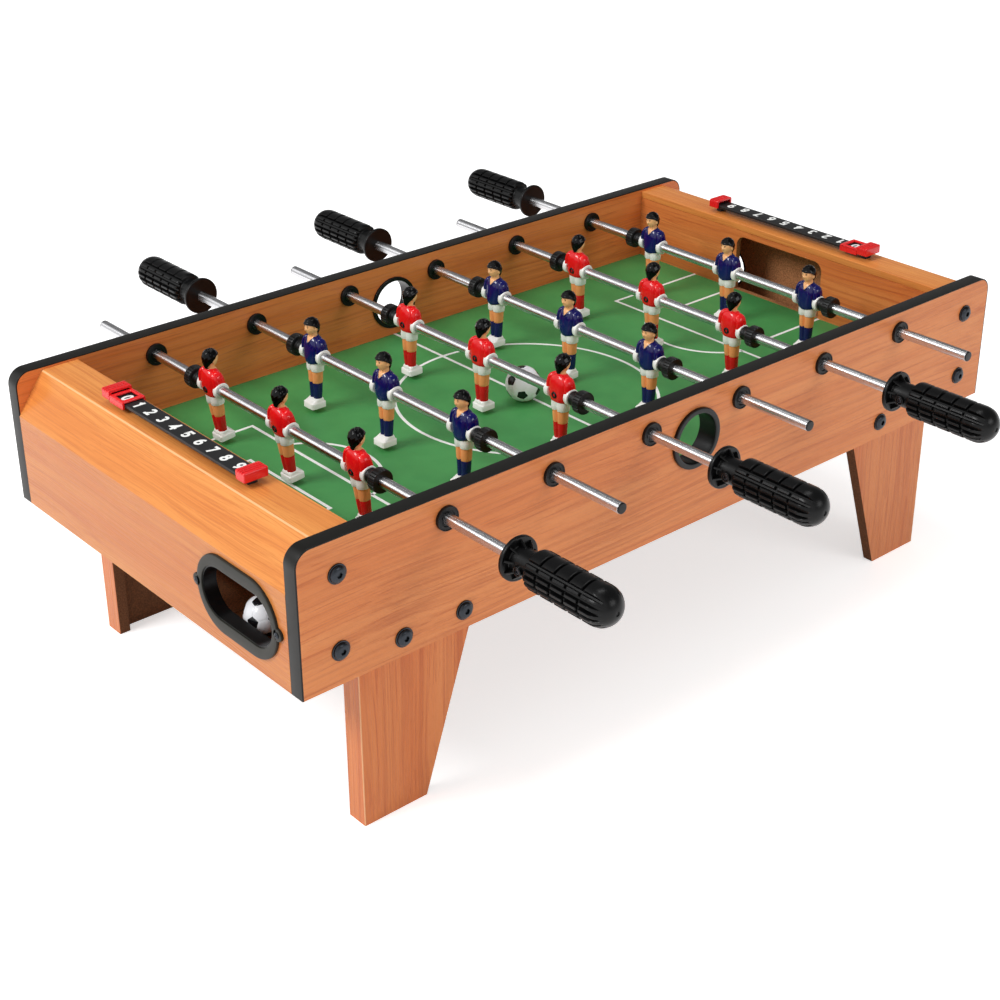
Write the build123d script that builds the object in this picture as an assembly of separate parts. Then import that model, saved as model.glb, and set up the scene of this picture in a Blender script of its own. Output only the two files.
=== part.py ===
from build123d import *
import math
import os

# Tabletop foosball table, in millimetres.
# X runs along the table, Y across it and Z up. The origin is on the surface that the legs stand on,
# under the middle of the table. The right end (+X) and the near side (-Y) are drawn, and half a turn
# about Z gives the left end and the far side.

# Cabinet
table_length = 686.0
table_width = 358.0
side_thickness = 12.0
side_height = 104.0
side_corner_radius = 12.0
edge_band = 1.0

# Legs
under_clearance = 128.0         # from the surface to the underside of the sides
leg_thickness = 9.0
leg_foot_width = 52.5
leg_top_width = 106.0
leg_strip_width = 9.0
leg_strip_depth = 8.0

# Playfield
field_depth = 63.5              # from the top edge of the sides down to the field
playfield_thickness = 6.0
field_sheet_thickness = 1.0

# End boxes, one behind each goal
end_box_depth = 51.0            # from the end of the table to the face of the goal wall
goal_wall_thickness = 5.0
goal_width = 96.0
goal_height = 50.0
goal_corner_radius = 8.5
top_board_drop = 2.5            # below the top edge of the sides
top_board_run = 29.0            # from the face of the goal wall to the fold
top_board_thickness = 6.0
slope_drop = 30.5
slope_thickness = 6.0
end_panel_thickness = 9.0
box_floor_thickness = 4.0
ramp_low = 1.0
ramp_high = 14.0
ramp_foot_y = 70.0
block_width = 18.0
block_depth = 15.0
block_height = 82.0

# Ball return
ball_diameter = 28.0
waiting_ball_inset = 21.5       # from the back of the goal wall
waiting_ball_shift = 9.0        # from the middle of the opening, towards the middle of the table
return_side_margin = 66.0       # from the outer face of the side to the middle of the opening
return_height = 39.0            # centre of the opening above the underside of the sides
bezel_length = 90.0
bezel_height = 56.6
bezel_lip = 2.0
bezel_opening_length = 78.0
bezel_opening_height = 37.5
bezel_sleeve_wall = 1.2
bezel_ear_radius = 4.5
bezel_screw_length = 8.0        # in the end panel

# Ball entry
entry_depth = 35.0              # centre of the entry hole below the top edge of the sides
entry_bore = 38.0
entry_ring_diameter = 46.5
entry_inner_ring_diameter = 44.5
entry_barrel_wall = 1.8
entry_lip = 2.5
entry_inner_lip = 2.0

# Rods
rest_leans = (6.0, 1.0, 0.0, 0.0, 3.0, 0.0)    # degrees that each rod's men lean, feet forward
rod_end_margin = 64.5           # from the goal wall to the nearest rod
rod_depth = 17.0                # rod axis below the top edge of the sides
rod_diameter = 8.0
rod_wall = 1.0
rod_running_clearance = 0.08
plain_end_margin = 14.0
cap_radius = 4.5
cap_length = 4.0
cap_wall = 1.0

# Rod bushings
bushing_flange_radius = 9.25
bushing_lip = 3.0
bushing_barrel_radius = 6.4
bushing_joint_gap = 0.2

# Handles
handle_gap = 15.5
handle_length = 87.3
handle_flange_radius = 15.0
handle_flange = 3.0
handle_neck_radius = 9.0
handle_neck_length = 18.5
handle_shoulder = 3.5
handle_grip_radius = 13.4
handle_rod_seat = 50.0
gusset_count = 6
gusset_thickness = 1.6
gusset_reach = 8.0
gusset_radius = 13.5
groove_count = 4
groove_start = 30.5
groove_pitch = 12.0
groove_width = 1.4
groove_depth = 0.8
dimple_radius = 1.5
dimple_depth = 0.6
handle_boss_radius = 4.0
handle_boss_reach = 11.0
handle_screw_place = 8.5        # from the handle's inner face, on the side that the men's backs face

# Men
man_count = 3
man_spacing = 88.0
foot_clearance = 3.0
man_head_top = 30.0
man_head_height = 15.5
man_head_radius = 6.0
man_head_forward = 2.2
man_trunk_top = 14.8
man_neck_half_width = 5.0
man_neck_depth = 3.6
man_chest_height = 9.0
man_chest_half_width = 8.8
man_chest_depth = 6.2
man_waist_depth = 6.6
man_hem_drop = 10.0
man_hip_half_width = 7.0
man_hip_depth = 5.2
man_cuff_radius = 6.2
man_half_width = 12.5
sock_half_width = 5.6
sock_depth = 3.8
foot_height = 6.5
foot_edge = 3.0
foot_half_width = 6.4
foot_toe = 8.3
foot_heel = 5.0

# Bumpers, outboard of the outer men
bumper_gap = 0.3
bumper_end_gap = 1.5
bumper_neck_radius = 5.4
bumper_disc_radius = 8.5
bumper_disc_length = 7.0
bumper_length = 13.7

# Score counters
rail_inset = 15.2               # from the face of the goal wall to the middle of the rail
rail_side_gap = 0.3
rail_thickness = 2.4
rail_lift = 4.6
rail_seat = 5.0
score_pitch = 15.4
score_step_count = 9
bracket_width = 18.6
bracket_length = 10.2
bracket_height = 6.8
bracket_wall = 1.8
bracket_chamfer = 1.6
slider_wall = 1.6
slider_length = 17.6
slider_floor = 1.0
slider_above_rail = 2.0
slider_rail_gap = 0.3
slider_end_gap = 0.2
slider_window_width = 12.0
slider_window_length = 9.5

# Bolts through the sides
bolt_radius = 2.5
bolt_head_radius = 5.0
bolt_head = 2.6
bolt_head_round = 2.2
bolt_socket_radius = 1.6
bolt_socket_depth = 1.2
bolt_tail = 1.0
washer_radius = 6.0
washer_thickness = 1.0
nut_radius = 4.6
nut_thickness = 4.0
leg_bolt_insets = (28.0, 78.0)  # from the outer edge of the leg
leg_bolt_rise = 14.0
end_bolt_inset = 30.0
end_bolt_rises = (25.0, 79.5)
hole_clearance = 0.25

# Small screws that fix the men and the handle to the rod
screw_radius = 1.2
screw_head_radius = 2.2
screw_head = 1.2
screw_past_wall = 0.4
seat_clearance = 0.05           # between pieces fixed to each other
overcut = 1.0                   # how far a cutter passes the face that it opens

# Places worked out from the sizes above
half_length = table_length / 2
half_width = table_width / 2
inner_half_width = half_width - side_thickness
side_top = under_clearance + side_height
field_top = side_top - field_depth
playfield_top = field_top - field_sheet_thickness
playfield_bottom = playfield_top - playfield_thickness
goal_wall_x = half_length - end_box_depth
box_inner_x = goal_wall_x + goal_wall_thickness
end_panel_inner_x = half_length - end_panel_thickness
fold_x = goal_wall_x + top_board_run
top_board_top = side_top - top_board_drop
top_board_bottom = top_board_top - top_board_thickness
slope_foot_z = top_board_top - slope_drop
box_floor_top = under_clearance + box_floor_thickness
return_y = half_width - return_side_margin
return_z = under_clearance + return_height
entry_z = side_top - entry_depth
rod_z = side_top - rod_depth
rod_radius = rod_diameter / 2
rod_spacing = 2 * (goal_wall_x - rod_end_margin) / (len(rest_leans) - 1)
rod_places = [(i - (len(rest_leans) - 1) / 2) * rod_spacing for i in range(len(rest_leans))]
man_places = [(i - (man_count - 1) / 2) * man_spacing for i in range(man_count)]
bumper_start_y = man_places[-1] + man_half_width + bumper_gap
bumper_face_y = bumper_start_y + bumper_length
slide_travel = inner_half_width - bushing_lip - bumper_end_gap - bumper_face_y
plain_end_y = half_width + bushing_lip + slide_travel + plain_end_margin
handle_start = half_width + bushing_lip + slide_travel + handle_gap
handle_end = handle_start + handle_length
foot_drop = rod_z - field_top - foot_clearance
score_span = score_pitch * score_step_count
bracket_face_y = score_span / 2 + slider_length / 2 + slider_end_gap
rail_x = goal_wall_x + rail_inset
rail_width = bracket_width - 2 * (bracket_wall + rail_side_gap)
slider_width = rail_width + 2 * (slider_rail_gap + slider_wall)
rail_bottom = top_board_top + rail_lift
rail_top = rail_bottom + rail_thickness
leg_bolt_places = [goal_wall_x - inset for inset in leg_bolt_insets]
leg_bolt_z = under_clearance + leg_bolt_rise
end_bolt_x = half_length - end_bolt_inset
end_bolt_heights = [under_clearance + rise for rise in end_bolt_rises]
half_turn = Rot(0, 0, 180)


def block(x_low, x_high, y_low, y_high, z_low, z_high):
    centre = Pos((x_low + x_high) / 2, (y_low + y_high) / 2, (z_low + z_high) / 2)
    return centre * Box(x_high - x_low, y_high - y_low, z_high - z_low)


def bar_x(radius, x_low, x_high, y, z):
    return Pos((x_low + x_high) / 2, y, z) * Rot(0, 90, 0) * Cylinder(radius, x_high - x_low)


def bar_y(radius, y_low, y_high, x=0, z=0):
    return Pos(x, (y_low + y_high) / 2, z) * Rot(90, 0, 0) * Cylinder(radius, y_high - y_low)


def prism_x(outline, x_low, x_high):
    return Pos((x_low + x_high) / 2, 0, 0) * extrude(Plane.YZ * outline, (x_high - x_low) / 2, both=True)


def prism_y(outline, y_low, y_high):
    return Pos(0, (y_low + y_high) / 2, 0) * extrude(Plane.XZ * outline, (y_high - y_low) / 2, both=True)


def polygon(points):
    return Polygon(*points, align=None)


def both_ends(shape):
    return [shape, half_turn * shape]


def four_corners(shape):
    return both_ends(shape) + both_ends(mirror(shape, about=Plane.XZ))


def save(node, shapes):
    solids = [solid for shape in shapes for solid in shape.solids()]
    export_step(solids[0] if len(solids) == 1 else Compound(solids), f"parts/{node}.step")


# Side panels with their edge band: the far side is drawn and half a turn gives the near one

def side_outline(inset):
    outline = Pos(0, under_clearance + side_height / 2)
    outline = outline * Rectangle(table_length - 2 * inset, side_height - 2 * inset)
    return fillet(outline.vertices().group_by(Axis.Y)[-1], side_corner_radius - inset)


def side_bolt_places():
    places = [(x, leg_bolt_z) for x in leg_bolt_places]
    places += [(end_bolt_x, z) for z in end_bolt_heights]
    return places + [(-x, z) for x, z in places]


def side_panel():
    panel = prism_y(side_outline(edge_band), inner_half_width, half_width)
    for x in rod_places:
        panel -= bar_y(bushing_barrel_radius + hole_clearance, inner_half_width, half_width, x, rod_z)
    for x, z in side_bolt_places():
        panel -= bar_y(bolt_radius + hole_clearance, inner_half_width, half_width, x, z)
    entry_hole = entry_bore / 2 + entry_barrel_wall + hole_clearance
    return panel - bar_y(entry_hole, inner_half_width, half_width, 0, entry_z)


def edge_trim():
    outer = prism_y(side_outline(0), inner_half_width, half_width)
    return outer - prism_y(side_outline(edge_band), inner_half_width, half_width)


# End boxes at the right end

def fold_corners():
    # Inner corners of the mitres where the slope board meets the top board and the end panel
    run = half_length - fold_x
    length = math.hypot(run, slope_drop)
    start_x = fold_x - slope_thickness * slope_drop / length
    start_z = top_board_top - slope_thickness * run / length
    top_corner = (start_x + (start_z - top_board_bottom) * run / slope_drop, top_board_bottom)
    foot_z = start_z - (end_panel_inner_x - start_x) * slope_drop / run
    return top_corner, (end_panel_inner_x, foot_z)


def top_board():
    top_corner, foot_corner = fold_corners()
    outline = [(goal_wall_x, top_board_top), (fold_x, top_board_top), top_corner,
               (goal_wall_x, top_board_bottom)]
    return prism_y(polygon(outline), -inner_half_width, inner_half_width)


def slope_board():
    top_corner, foot_corner = fold_corners()
    outline = [(fold_x, top_board_top), (half_length, slope_foot_z), foot_corner, top_corner]
    return prism_y(polygon(outline), -inner_half_width, inner_half_width)


def end_panel():
    top_corner, foot_corner = fold_corners()
    outline = [(half_length, under_clearance), (half_length, slope_foot_z), foot_corner,
               (end_panel_inner_x, under_clearance)]
    panel = prism_y(polygon(outline), -inner_half_width, inner_half_width)
    length = bezel_opening_length + 2 * (bezel_sleeve_wall + hole_clearance)
    height = bezel_opening_height + 2 * (bezel_sleeve_wall + hole_clearance)
    slot = Pos(return_y, return_z) * SlotOverall(length, height)
    panel -= prism_x(slot, end_panel_inner_x - overcut, half_length + overcut)
    for y in bezel_screw_places():
        panel -= bar_x(screw_radius + seat_clearance, end_panel_inner_x - overcut,
                       half_length + overcut, y, return_z)
    return panel


def goal_wall():
    wall = block(goal_wall_x, box_inner_x, -inner_half_width, inner_half_width, under_clearance,
                 top_board_bottom)
    mouth = Pos(0, field_top + goal_height / 2) * Rectangle(goal_width, goal_height)
    mouth = fillet(mouth.vertices().group_by(Axis.Y)[-1], goal_corner_radius)
    return wall - prism_x(mouth, goal_wall_x - overcut, box_inner_x + overcut)


def box_floor():
    return block(box_inner_x, end_panel_inner_x, -inner_half_width, inner_half_width, under_clearance,
                 box_floor_top)


def ball_ramp():
    high_y = inner_half_width - block_depth
    outline = [(-high_y, box_floor_top), (ramp_foot_y, box_floor_top),
               (ramp_foot_y, box_floor_top + ramp_low), (-high_y, box_floor_top + ramp_high)]
    return prism_x(polygon(outline), box_inner_x, end_panel_inner_x)


def corner_block():
    solid = block(end_bolt_x - block_width / 2, end_bolt_x + block_width / 2,
                  inner_half_width - block_depth, inner_half_width,
                  box_floor_top, box_floor_top + block_height)
    for z in end_bolt_heights:
        solid -= bar_y(bolt_radius + hole_clearance, inner_half_width - block_depth, inner_half_width,
                       end_bolt_x, z)
    return solid


# Ball return bezels, screws and a ball waiting in the left one

def bezel_screw_places():
    return [return_y - bezel_length / 2, return_y + bezel_length / 2]


def return_bezel():
    plate = Pos(return_y, return_z) * SlotOverall(bezel_length, bezel_height)
    opening = Pos(return_y, return_z) * SlotOverall(bezel_opening_length, bezel_opening_height)
    sleeve = Pos(return_y, return_z) * SlotOverall(bezel_opening_length + 2 * bezel_sleeve_wall,
                                                   bezel_opening_height + 2 * bezel_sleeve_wall)
    bezel = prism_x(plate, half_length, half_length + bezel_lip)
    for y in bezel_screw_places():
        bezel += bar_x(bezel_ear_radius, half_length, half_length + bezel_lip, y, return_z)
    bezel += prism_x(sleeve, end_panel_inner_x, half_length + bezel_lip)
    for y in bezel_screw_places():
        bezel -= bar_x(screw_radius + hole_clearance, half_length - overcut,
                       half_length + bezel_lip + overcut, y, return_z)
    return bezel - prism_x(opening, end_panel_inner_x - overcut, half_length + bezel_lip + overcut)


def bezel_screw(y):
    head_x = half_length + bezel_lip
    screw = bar_x(screw_radius, half_length - bezel_screw_length, head_x, y, return_z)
    return screw + bar_x(screw_head_radius, head_x, head_x + screw_head, y, return_z)


def waiting_ball():
    x = -(box_inner_x + waiting_ball_inset)
    y = -(return_y - waiting_ball_shift)
    return Pos(x, y, box_floor_top + ball_diameter / 2 + seat_clearance) * Sphere(ball_diameter / 2)


# Ball entry rings: an outer ring whose barrel passes through the side, and a ring pressed on inside

def entry_ring():
    barrel_radius = entry_bore / 2 + entry_barrel_wall
    inner_y = inner_half_width - entry_inner_lip
    outer_y = half_width + entry_lip
    outer = bar_y(entry_ring_diameter / 2, half_width, outer_y, 0, entry_z)
    outer += bar_y(barrel_radius, inner_y, half_width, 0, entry_z)
    outer -= bar_y(entry_bore / 2, inner_y - overcut, outer_y + overcut, 0, entry_z)
    inner = bar_y(entry_inner_ring_diameter / 2, inner_y, inner_half_width, 0, entry_z)
    inner -= bar_y(barrel_radius + seat_clearance, inner_y - overcut, inner_half_width + overcut,
                   0, entry_z)
    return [outer, inner]


# Rod bushings: two flanged halves that meet inside each hole

def bushing(x):
    bore = bar_y(rod_radius + rod_running_clearance, inner_half_width - bushing_lip - overcut,
                 half_width + bushing_lip + overcut, x, rod_z)
    middle = (inner_half_width + half_width) / 2
    outer = bar_y(bushing_flange_radius, half_width, half_width + bushing_lip, x, rod_z)
    outer += bar_y(bushing_barrel_radius, middle + bushing_joint_gap / 2, half_width, x, rod_z)
    inner = bar_y(bushing_flange_radius, inner_half_width - bushing_lip, inner_half_width, x, rod_z)
    inner += bar_y(bushing_barrel_radius, inner_half_width, middle - bushing_joint_gap / 2, x, rod_z)
    return [outer - bore, inner - bore]


# Legs: a board against the inside of the side panel, and a strip along its outer edge

def leg_board():
    outline = [(goal_wall_x, 0), (goal_wall_x, playfield_bottom),
               (goal_wall_x - leg_top_width, playfield_bottom), (goal_wall_x - leg_foot_width, 0)]
    board = prism_y(polygon(outline), inner_half_width - leg_thickness, inner_half_width)
    for x in leg_bolt_places:
        board -= bar_y(bolt_radius + hole_clearance, inner_half_width - leg_thickness, inner_half_width,
                       x, leg_bolt_z)
    return board


def leg_strip():
    strip_y = inner_half_width - leg_thickness
    return block(goal_wall_x - leg_strip_width, goal_wall_x, strip_y - leg_strip_depth, strip_y,
                 0, playfield_bottom)


# Bolts, washers and nuts: a button head outside each side panel, a nut behind the leg or corner block

def bolt(x, z, seat_y):
    head_y = half_width + washer_thickness
    head = bar_y(bolt_head_radius, head_y, head_y + bolt_head, x, z)
    head = fillet(head.edges().sort_by(Axis.Y)[-1], bolt_head_round)
    socket = Pos(x, z) * RegularPolygon(bolt_socket_radius, 6)
    head -= prism_y(socket, head_y + bolt_head - bolt_socket_depth, head_y + bolt_head + overcut)
    return head + bar_y(bolt_radius, seat_y - nut_thickness - bolt_tail, head_y, x, z)


def washer(x, z):
    ring = bar_y(washer_radius, half_width, half_width + washer_thickness, x, z)
    return ring - bar_y(bolt_radius + hole_clearance, half_width - overcut,
                        half_width + washer_thickness + overcut, x, z)


def nut(x, z, seat_y):
    outline = Pos(x, z) * RegularPolygon(nut_radius, 6)
    bore = bar_y(bolt_radius + seat_clearance, seat_y - nut_thickness - overcut, seat_y + overcut, x, z)
    return prism_y(outline, seat_y - nut_thickness, seat_y) - bore


def corner_bolt_places():
    leg_seat = inner_half_width - leg_thickness
    block_seat = inner_half_width - block_depth
    places = [(x, leg_bolt_z, leg_seat) for x in leg_bolt_places]
    return places + [(end_bolt_x, z, block_seat) for z in end_bolt_heights]


# Score counters on the top boards: a rail in two brackets, and a slider with a window round the rail

def score_rail():
    end_y = bracket_face_y + rail_seat
    rail = block(rail_x - rail_width / 2, rail_x + rail_width / 2, -end_y, end_y, rail_bottom, rail_top)
    foot = block(rail_x - bracket_width / 2, rail_x + bracket_width / 2,
                 bracket_face_y, bracket_face_y + bracket_length, top_board_top, rail_bottom)
    return rail + foot + mirror(foot, about=Plane.XZ)


def score_bracket():
    bracket = block(rail_x - bracket_width / 2, rail_x + bracket_width / 2,
                    bracket_face_y, bracket_face_y + bracket_length,
                    rail_bottom, rail_bottom + bracket_height)
    bracket = chamfer(bracket.faces().sort_by(Axis.Z)[-1].edges(), bracket_chamfer)
    half_hollow = bracket_width / 2 - bracket_wall
    return bracket - block(rail_x - half_hollow, rail_x + half_hollow,
                           bracket_face_y - overcut, bracket_face_y + bracket_length - bracket_wall,
                           rail_bottom - overcut, rail_bottom + bracket_height - bracket_wall)


def score_slider():
    y_low = -(score_span + slider_length) / 2
    y_high = y_low + slider_length
    middle = (y_low + y_high) / 2
    slider = block(rail_x - slider_width / 2, rail_x + slider_width / 2, y_low, y_high,
                   rail_bottom - slider_rail_gap - slider_floor, rail_top + slider_above_rail)
    half_slot = rail_width / 2 + slider_rail_gap
    slider -= block(rail_x - half_slot, rail_x + half_slot, y_low - overcut, y_high + overcut,
                    rail_bottom - slider_rail_gap, rail_top + slider_rail_gap)
    return slider - block(rail_x - slider_window_width / 2, rail_x + slider_window_width / 2,
                          middle - slider_window_length / 2, middle + slider_window_length / 2,
                          rail_top, rail_top + slider_above_rail + overcut)


# One rod with its fittings, drawn about its own axis along Y: the men face +X, the handle is at -Y

def rod():
    tube = bar_y(rod_radius, -(handle_start + handle_rod_seat), plain_end_y - cap_wall)
    tube -= bar_y(rod_radius - rod_wall, -handle_end, plain_end_y)
    for y in man_places + [handle_screw_y()]:
        tube -= bar_x(screw_radius + hole_clearance, -rod_radius - overcut, 0, y, 0)
    return tube


def end_cap():
    cap = bar_y(cap_radius, plain_end_y - cap_length, plain_end_y)
    return cap - bar_y(rod_radius + seat_clearance, plain_end_y - cap_length - overcut,
                       plain_end_y - cap_wall)


def screw(y, seat_x):
    # Its head rests at seat_x and its tip ends just inside the tube
    shank = bar_x(screw_radius, -seat_x, -(rod_radius - rod_wall - screw_past_wall), y, 0)
    return shank + bar_x(screw_head_radius, -seat_x - screw_head, -seat_x, y, 0)


def screw_hole(y, seat_x):
    shank = bar_x(screw_radius + hole_clearance, -seat_x - overcut, 0, y, 0)
    return shank + bar_x(screw_head_radius + hole_clearance, -2 * handle_boss_reach, -seat_x, y, 0)


def handle_screw_y():
    return -(handle_start + handle_screw_place)


def handle():
    neck_end = handle_start + handle_neck_length
    dome_y = handle_end - handle_grip_radius
    outline = [(0, -handle_start), (handle_flange_radius, -handle_start),
               (handle_flange_radius, -(handle_start + handle_flange)),
               (handle_neck_radius, -(handle_start + handle_flange)),
               (handle_neck_radius, -neck_end), (handle_grip_radius, -(neck_end + handle_shoulder)),
               (handle_grip_radius, -dome_y), (0, -dome_y)]
    solid = revolve(polygon(outline), Axis.Y) + Pos(0, -dome_y, 0) * Sphere(handle_grip_radius)
    for index in range(groove_count):
        middle = -(handle_start + groove_start + index * groove_pitch)
        low, high = middle - groove_width / 2, middle + groove_width / 2
        ring = bar_y(handle_grip_radius + overcut, low, high)
        solid -= ring - bar_y(handle_grip_radius - groove_depth, low - overcut, high + overcut)
    flange_back = -(handle_start + handle_flange)
    gusset_tip = flange_back - gusset_reach
    gusset_outline = [(rod_diameter, flange_back), (gusset_radius, flange_back),
                      (handle_neck_radius, gusset_tip), (rod_diameter, gusset_tip)]
    gusset = extrude(polygon(gusset_outline), gusset_thickness / 2, both=True)
    for index in range(gusset_count):
        solid += Rot(0, (index + 0.5) * 360 / gusset_count, 0) * gusset
    solid += bar_x(handle_boss_radius, -handle_boss_reach, 0, handle_screw_y(), 0)
    bore_end = handle_start + handle_rod_seat + seat_clearance
    solid -= bar_y(rod_radius + seat_clearance, -bore_end, -handle_start + overcut)
    solid -= bar_y(dimple_radius, -handle_end - overcut, -handle_end + dimple_depth)
    return solid - screw_hole(handle_screw_y(), handle_boss_reach - screw_head)


def man(y):
    ankle = -(foot_drop - foot_height)
    side = [(-man_neck_depth, man_trunk_top), (man_neck_depth, man_trunk_top),
            (man_chest_depth, man_chest_height), (man_waist_depth, 0), (man_hip_depth, -man_hem_drop),
            (sock_depth, ankle), (-sock_depth, ankle), (-man_hip_depth, -man_hem_drop),
            (-man_waist_depth, 0), (-man_chest_depth, man_chest_height)]
    half_front = [(man_neck_half_width, man_trunk_top), (man_chest_half_width, man_chest_height),
                  (man_chest_half_width, 0), (man_hip_half_width, -man_hem_drop), (sock_half_width, ankle)]
    front = half_front + [(-width, z) for width, z in reversed(half_front)]
    solid = prism_y(polygon(side), -man_half_width, man_half_width)
    solid &= prism_x(polygon(front), -foot_toe, foot_toe)
    chin_z = man_head_top - man_head_height + man_head_radius
    crown_z = man_head_top - man_head_radius
    head = Pos(0, 0, (chin_z + crown_z) / 2) * Cylinder(man_head_radius, crown_z - chin_z)
    head += [Pos(0, 0, z) * Sphere(man_head_radius) for z in (chin_z, crown_z)]
    solid += Pos(man_head_forward, 0, 0) * head
    solid += bar_y(man_cuff_radius, -man_half_width, man_half_width)
    foot = [(-foot_heel, -foot_drop), (foot_toe, -foot_drop), (foot_toe, -foot_drop + foot_edge),
            (sock_depth, ankle), (-sock_depth, ankle), (-foot_heel, -foot_drop + foot_edge)]
    solid += prism_y(polygon(foot), -foot_half_width, foot_half_width)
    solid -= bar_y(rod_radius + seat_clearance, -man_half_width - overcut, man_half_width + overcut)
    solid -= screw_hole(0, man_waist_depth - screw_head)
    return Pos(0, y, 0) * solid


def bumper():
    ring = bar_y(bumper_neck_radius, bumper_start_y, bumper_face_y - bumper_disc_length)
    ring += bar_y(bumper_disc_radius, bumper_face_y - bumper_disc_length, bumper_face_y)
    return ring - bar_y(rod_radius + rod_running_clearance, bumper_start_y - overcut,
                        bumper_face_y + overcut)


def rod_placement(index):
    facing = half_turn if index % 2 else Rot(0, 0, 0)
    return Pos(rod_places[index], 0, rod_z) * facing * Rot(0, -rest_leans[index], 0)


def save_rod(index):
    placement = rod_placement(index)
    number = index + 1
    fittings = [end_cap(), screw(handle_screw_y(), handle_boss_reach - screw_head)]
    fittings += [screw(y, man_waist_depth - screw_head) for y in man_places]
    save(f"rod_{number}", [placement * rod()])
    save(f"handle_{number}", [placement * handle()])
    save(f"men_{number}", [placement * man(y) for y in man_places])
    save(f"bumpers_{number}", [placement * shape for shape in both_ends(bumper())])
    save(f"rod_fittings_{number}", [placement * shape for shape in fittings])


def save_cabinet():
    panel = side_panel()
    save("far_side_panel", [panel])
    save("near_side_panel", [half_turn * panel])
    save("edge_trims", both_ends(edge_trim()))
    save("right_end_panel", [end_panel()])
    save("left_end_panel", [half_turn * end_panel()])
    save("slope_boards", both_ends(slope_board()))
    save("top_boards", both_ends(top_board()))
    save("goal_walls", both_ends(goal_wall()))
    save("box_floors", both_ends(box_floor()))
    save("ball_ramps", both_ends(ball_ramp()))
    save("corner_blocks", four_corners(corner_block()))
    save("playfield_board", [block(-goal_wall_x, goal_wall_x, -inner_half_width, inner_half_width,
                                   playfield_bottom, playfield_top)])
    save("field_sheet", [block(-goal_wall_x, goal_wall_x, -inner_half_width, inner_half_width,
                               playfield_top, field_top)])
    names = ("leg_far_right", "leg_near_left", "leg_near_right", "leg_far_left")
    for name, leg in zip(names, four_corners(leg_board())):
        save(name, [leg])
    save("leg_strips", four_corners(leg_strip()))


def save_trim():
    save("return_bezels", both_ends(return_bezel()))
    save("bezel_screws", [shape for y in bezel_screw_places() for shape in both_ends(bezel_screw(y))])
    save("entry_rings", [shape for ring in entry_ring() for shape in both_ends(ring)])
    bushings = [half for x in rod_places for half in bushing(x)]
    save("rod_bushings", bushings + [half_turn * half for half in bushings])
    places = corner_bolt_places()
    bolts = [shape for x, z, seat_y in places for shape in four_corners(bolt(x, z, seat_y))]
    washers = [shape for x, z, seat_y in places for shape in four_corners(washer(x, z))]
    save("side_bolts", bolts + washers)
    save("bolt_nuts", [shape for x, z, seat_y in places for shape in four_corners(nut(x, z, seat_y))])
    save("score_rails", both_ends(score_rail()))
    save("score_brackets", four_corners(score_bracket()))
    save("right_score_slider", [score_slider()])
    save("left_score_slider", [half_turn * score_slider()])
    save("return_ball", [waiting_ball()])


os.makedirs("parts", exist_ok=True)
save_cabinet()
save_trim()
for index in range(len(rest_leans)):
    save_rod(index)
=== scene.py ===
import math
import bpy
import numpy as np
from mathutils import Matrix, Vector


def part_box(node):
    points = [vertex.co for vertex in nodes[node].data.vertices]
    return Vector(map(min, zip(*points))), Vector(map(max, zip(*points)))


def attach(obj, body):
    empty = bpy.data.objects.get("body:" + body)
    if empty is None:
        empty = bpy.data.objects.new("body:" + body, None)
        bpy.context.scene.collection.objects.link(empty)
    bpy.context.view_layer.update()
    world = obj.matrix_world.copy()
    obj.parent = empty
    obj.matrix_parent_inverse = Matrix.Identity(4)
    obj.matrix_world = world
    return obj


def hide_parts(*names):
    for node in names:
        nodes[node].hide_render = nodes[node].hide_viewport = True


# Tabletop foosball table. Shapes are worked out in millimetres, in the CAD frame: X along the table,
# Y across it, Z up from the surface that the legs stand on. makePiece turns them to metres.

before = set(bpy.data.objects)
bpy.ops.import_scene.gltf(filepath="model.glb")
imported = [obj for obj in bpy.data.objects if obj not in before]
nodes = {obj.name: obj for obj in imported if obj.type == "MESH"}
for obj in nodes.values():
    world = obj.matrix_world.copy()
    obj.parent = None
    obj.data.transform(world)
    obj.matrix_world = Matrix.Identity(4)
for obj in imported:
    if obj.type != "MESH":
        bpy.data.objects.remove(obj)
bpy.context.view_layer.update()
metre = 0.001                # one millimetre


def boxOf(node):
    # lowest and highest corner of a CAD node in millimetres
    return [np.array(corner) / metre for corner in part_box(node)]


# Shapes as whole arrays


def unit(vectors):
    # each vector over its own length
    return vectors / np.maximum(np.linalg.norm(vectors, axis=-1, keepdims=True), 1e-9)


def circle(count):
    # angles evenly round a full turn
    return np.arange(count) * 2 * math.pi / count


def atPlace(ring, axis, place):
    # a flat ring, or rings, set at a place along the axis
    return np.insert(np.asarray(ring, float), "XYZ".index(axis), place, axis=-1)


def rectangle(left, right, low, high):
    return [(left, low), (right, low), (right, high), (left, high)]


def gridFaces(rows, columns, closedRows=False):
    # each face joins a point of the grid to its neighbours in the next row and column; the last row is
    # joined to the first, or else those two are closed by one flat face each
    index = np.arange(rows * columns).reshape(rows, columns)
    around = np.hstack([index, index[:, :1]])
    around = np.vstack([around, around[:1]]) if closedRows else around
    corners = [around[:-1, :-1], around[:-1, 1:], around[1:, 1:], around[1:, :-1]]
    faces = [np.stack(corners, -1).reshape(-1, 4)]
    return faces if closedRows else faces + [index[:1, ::-1], index[-1:]]


def faceVolume(points, faces):
    # signed volume under a set of faces: a third of the dot of each face's middle and its area vector
    corners = points[faces]
    area = np.cross(corners, np.roll(corners, -1, axis=1)).sum(axis=1) / 2
    return (corners.mean(axis=1) * area).sum() / 3


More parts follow.
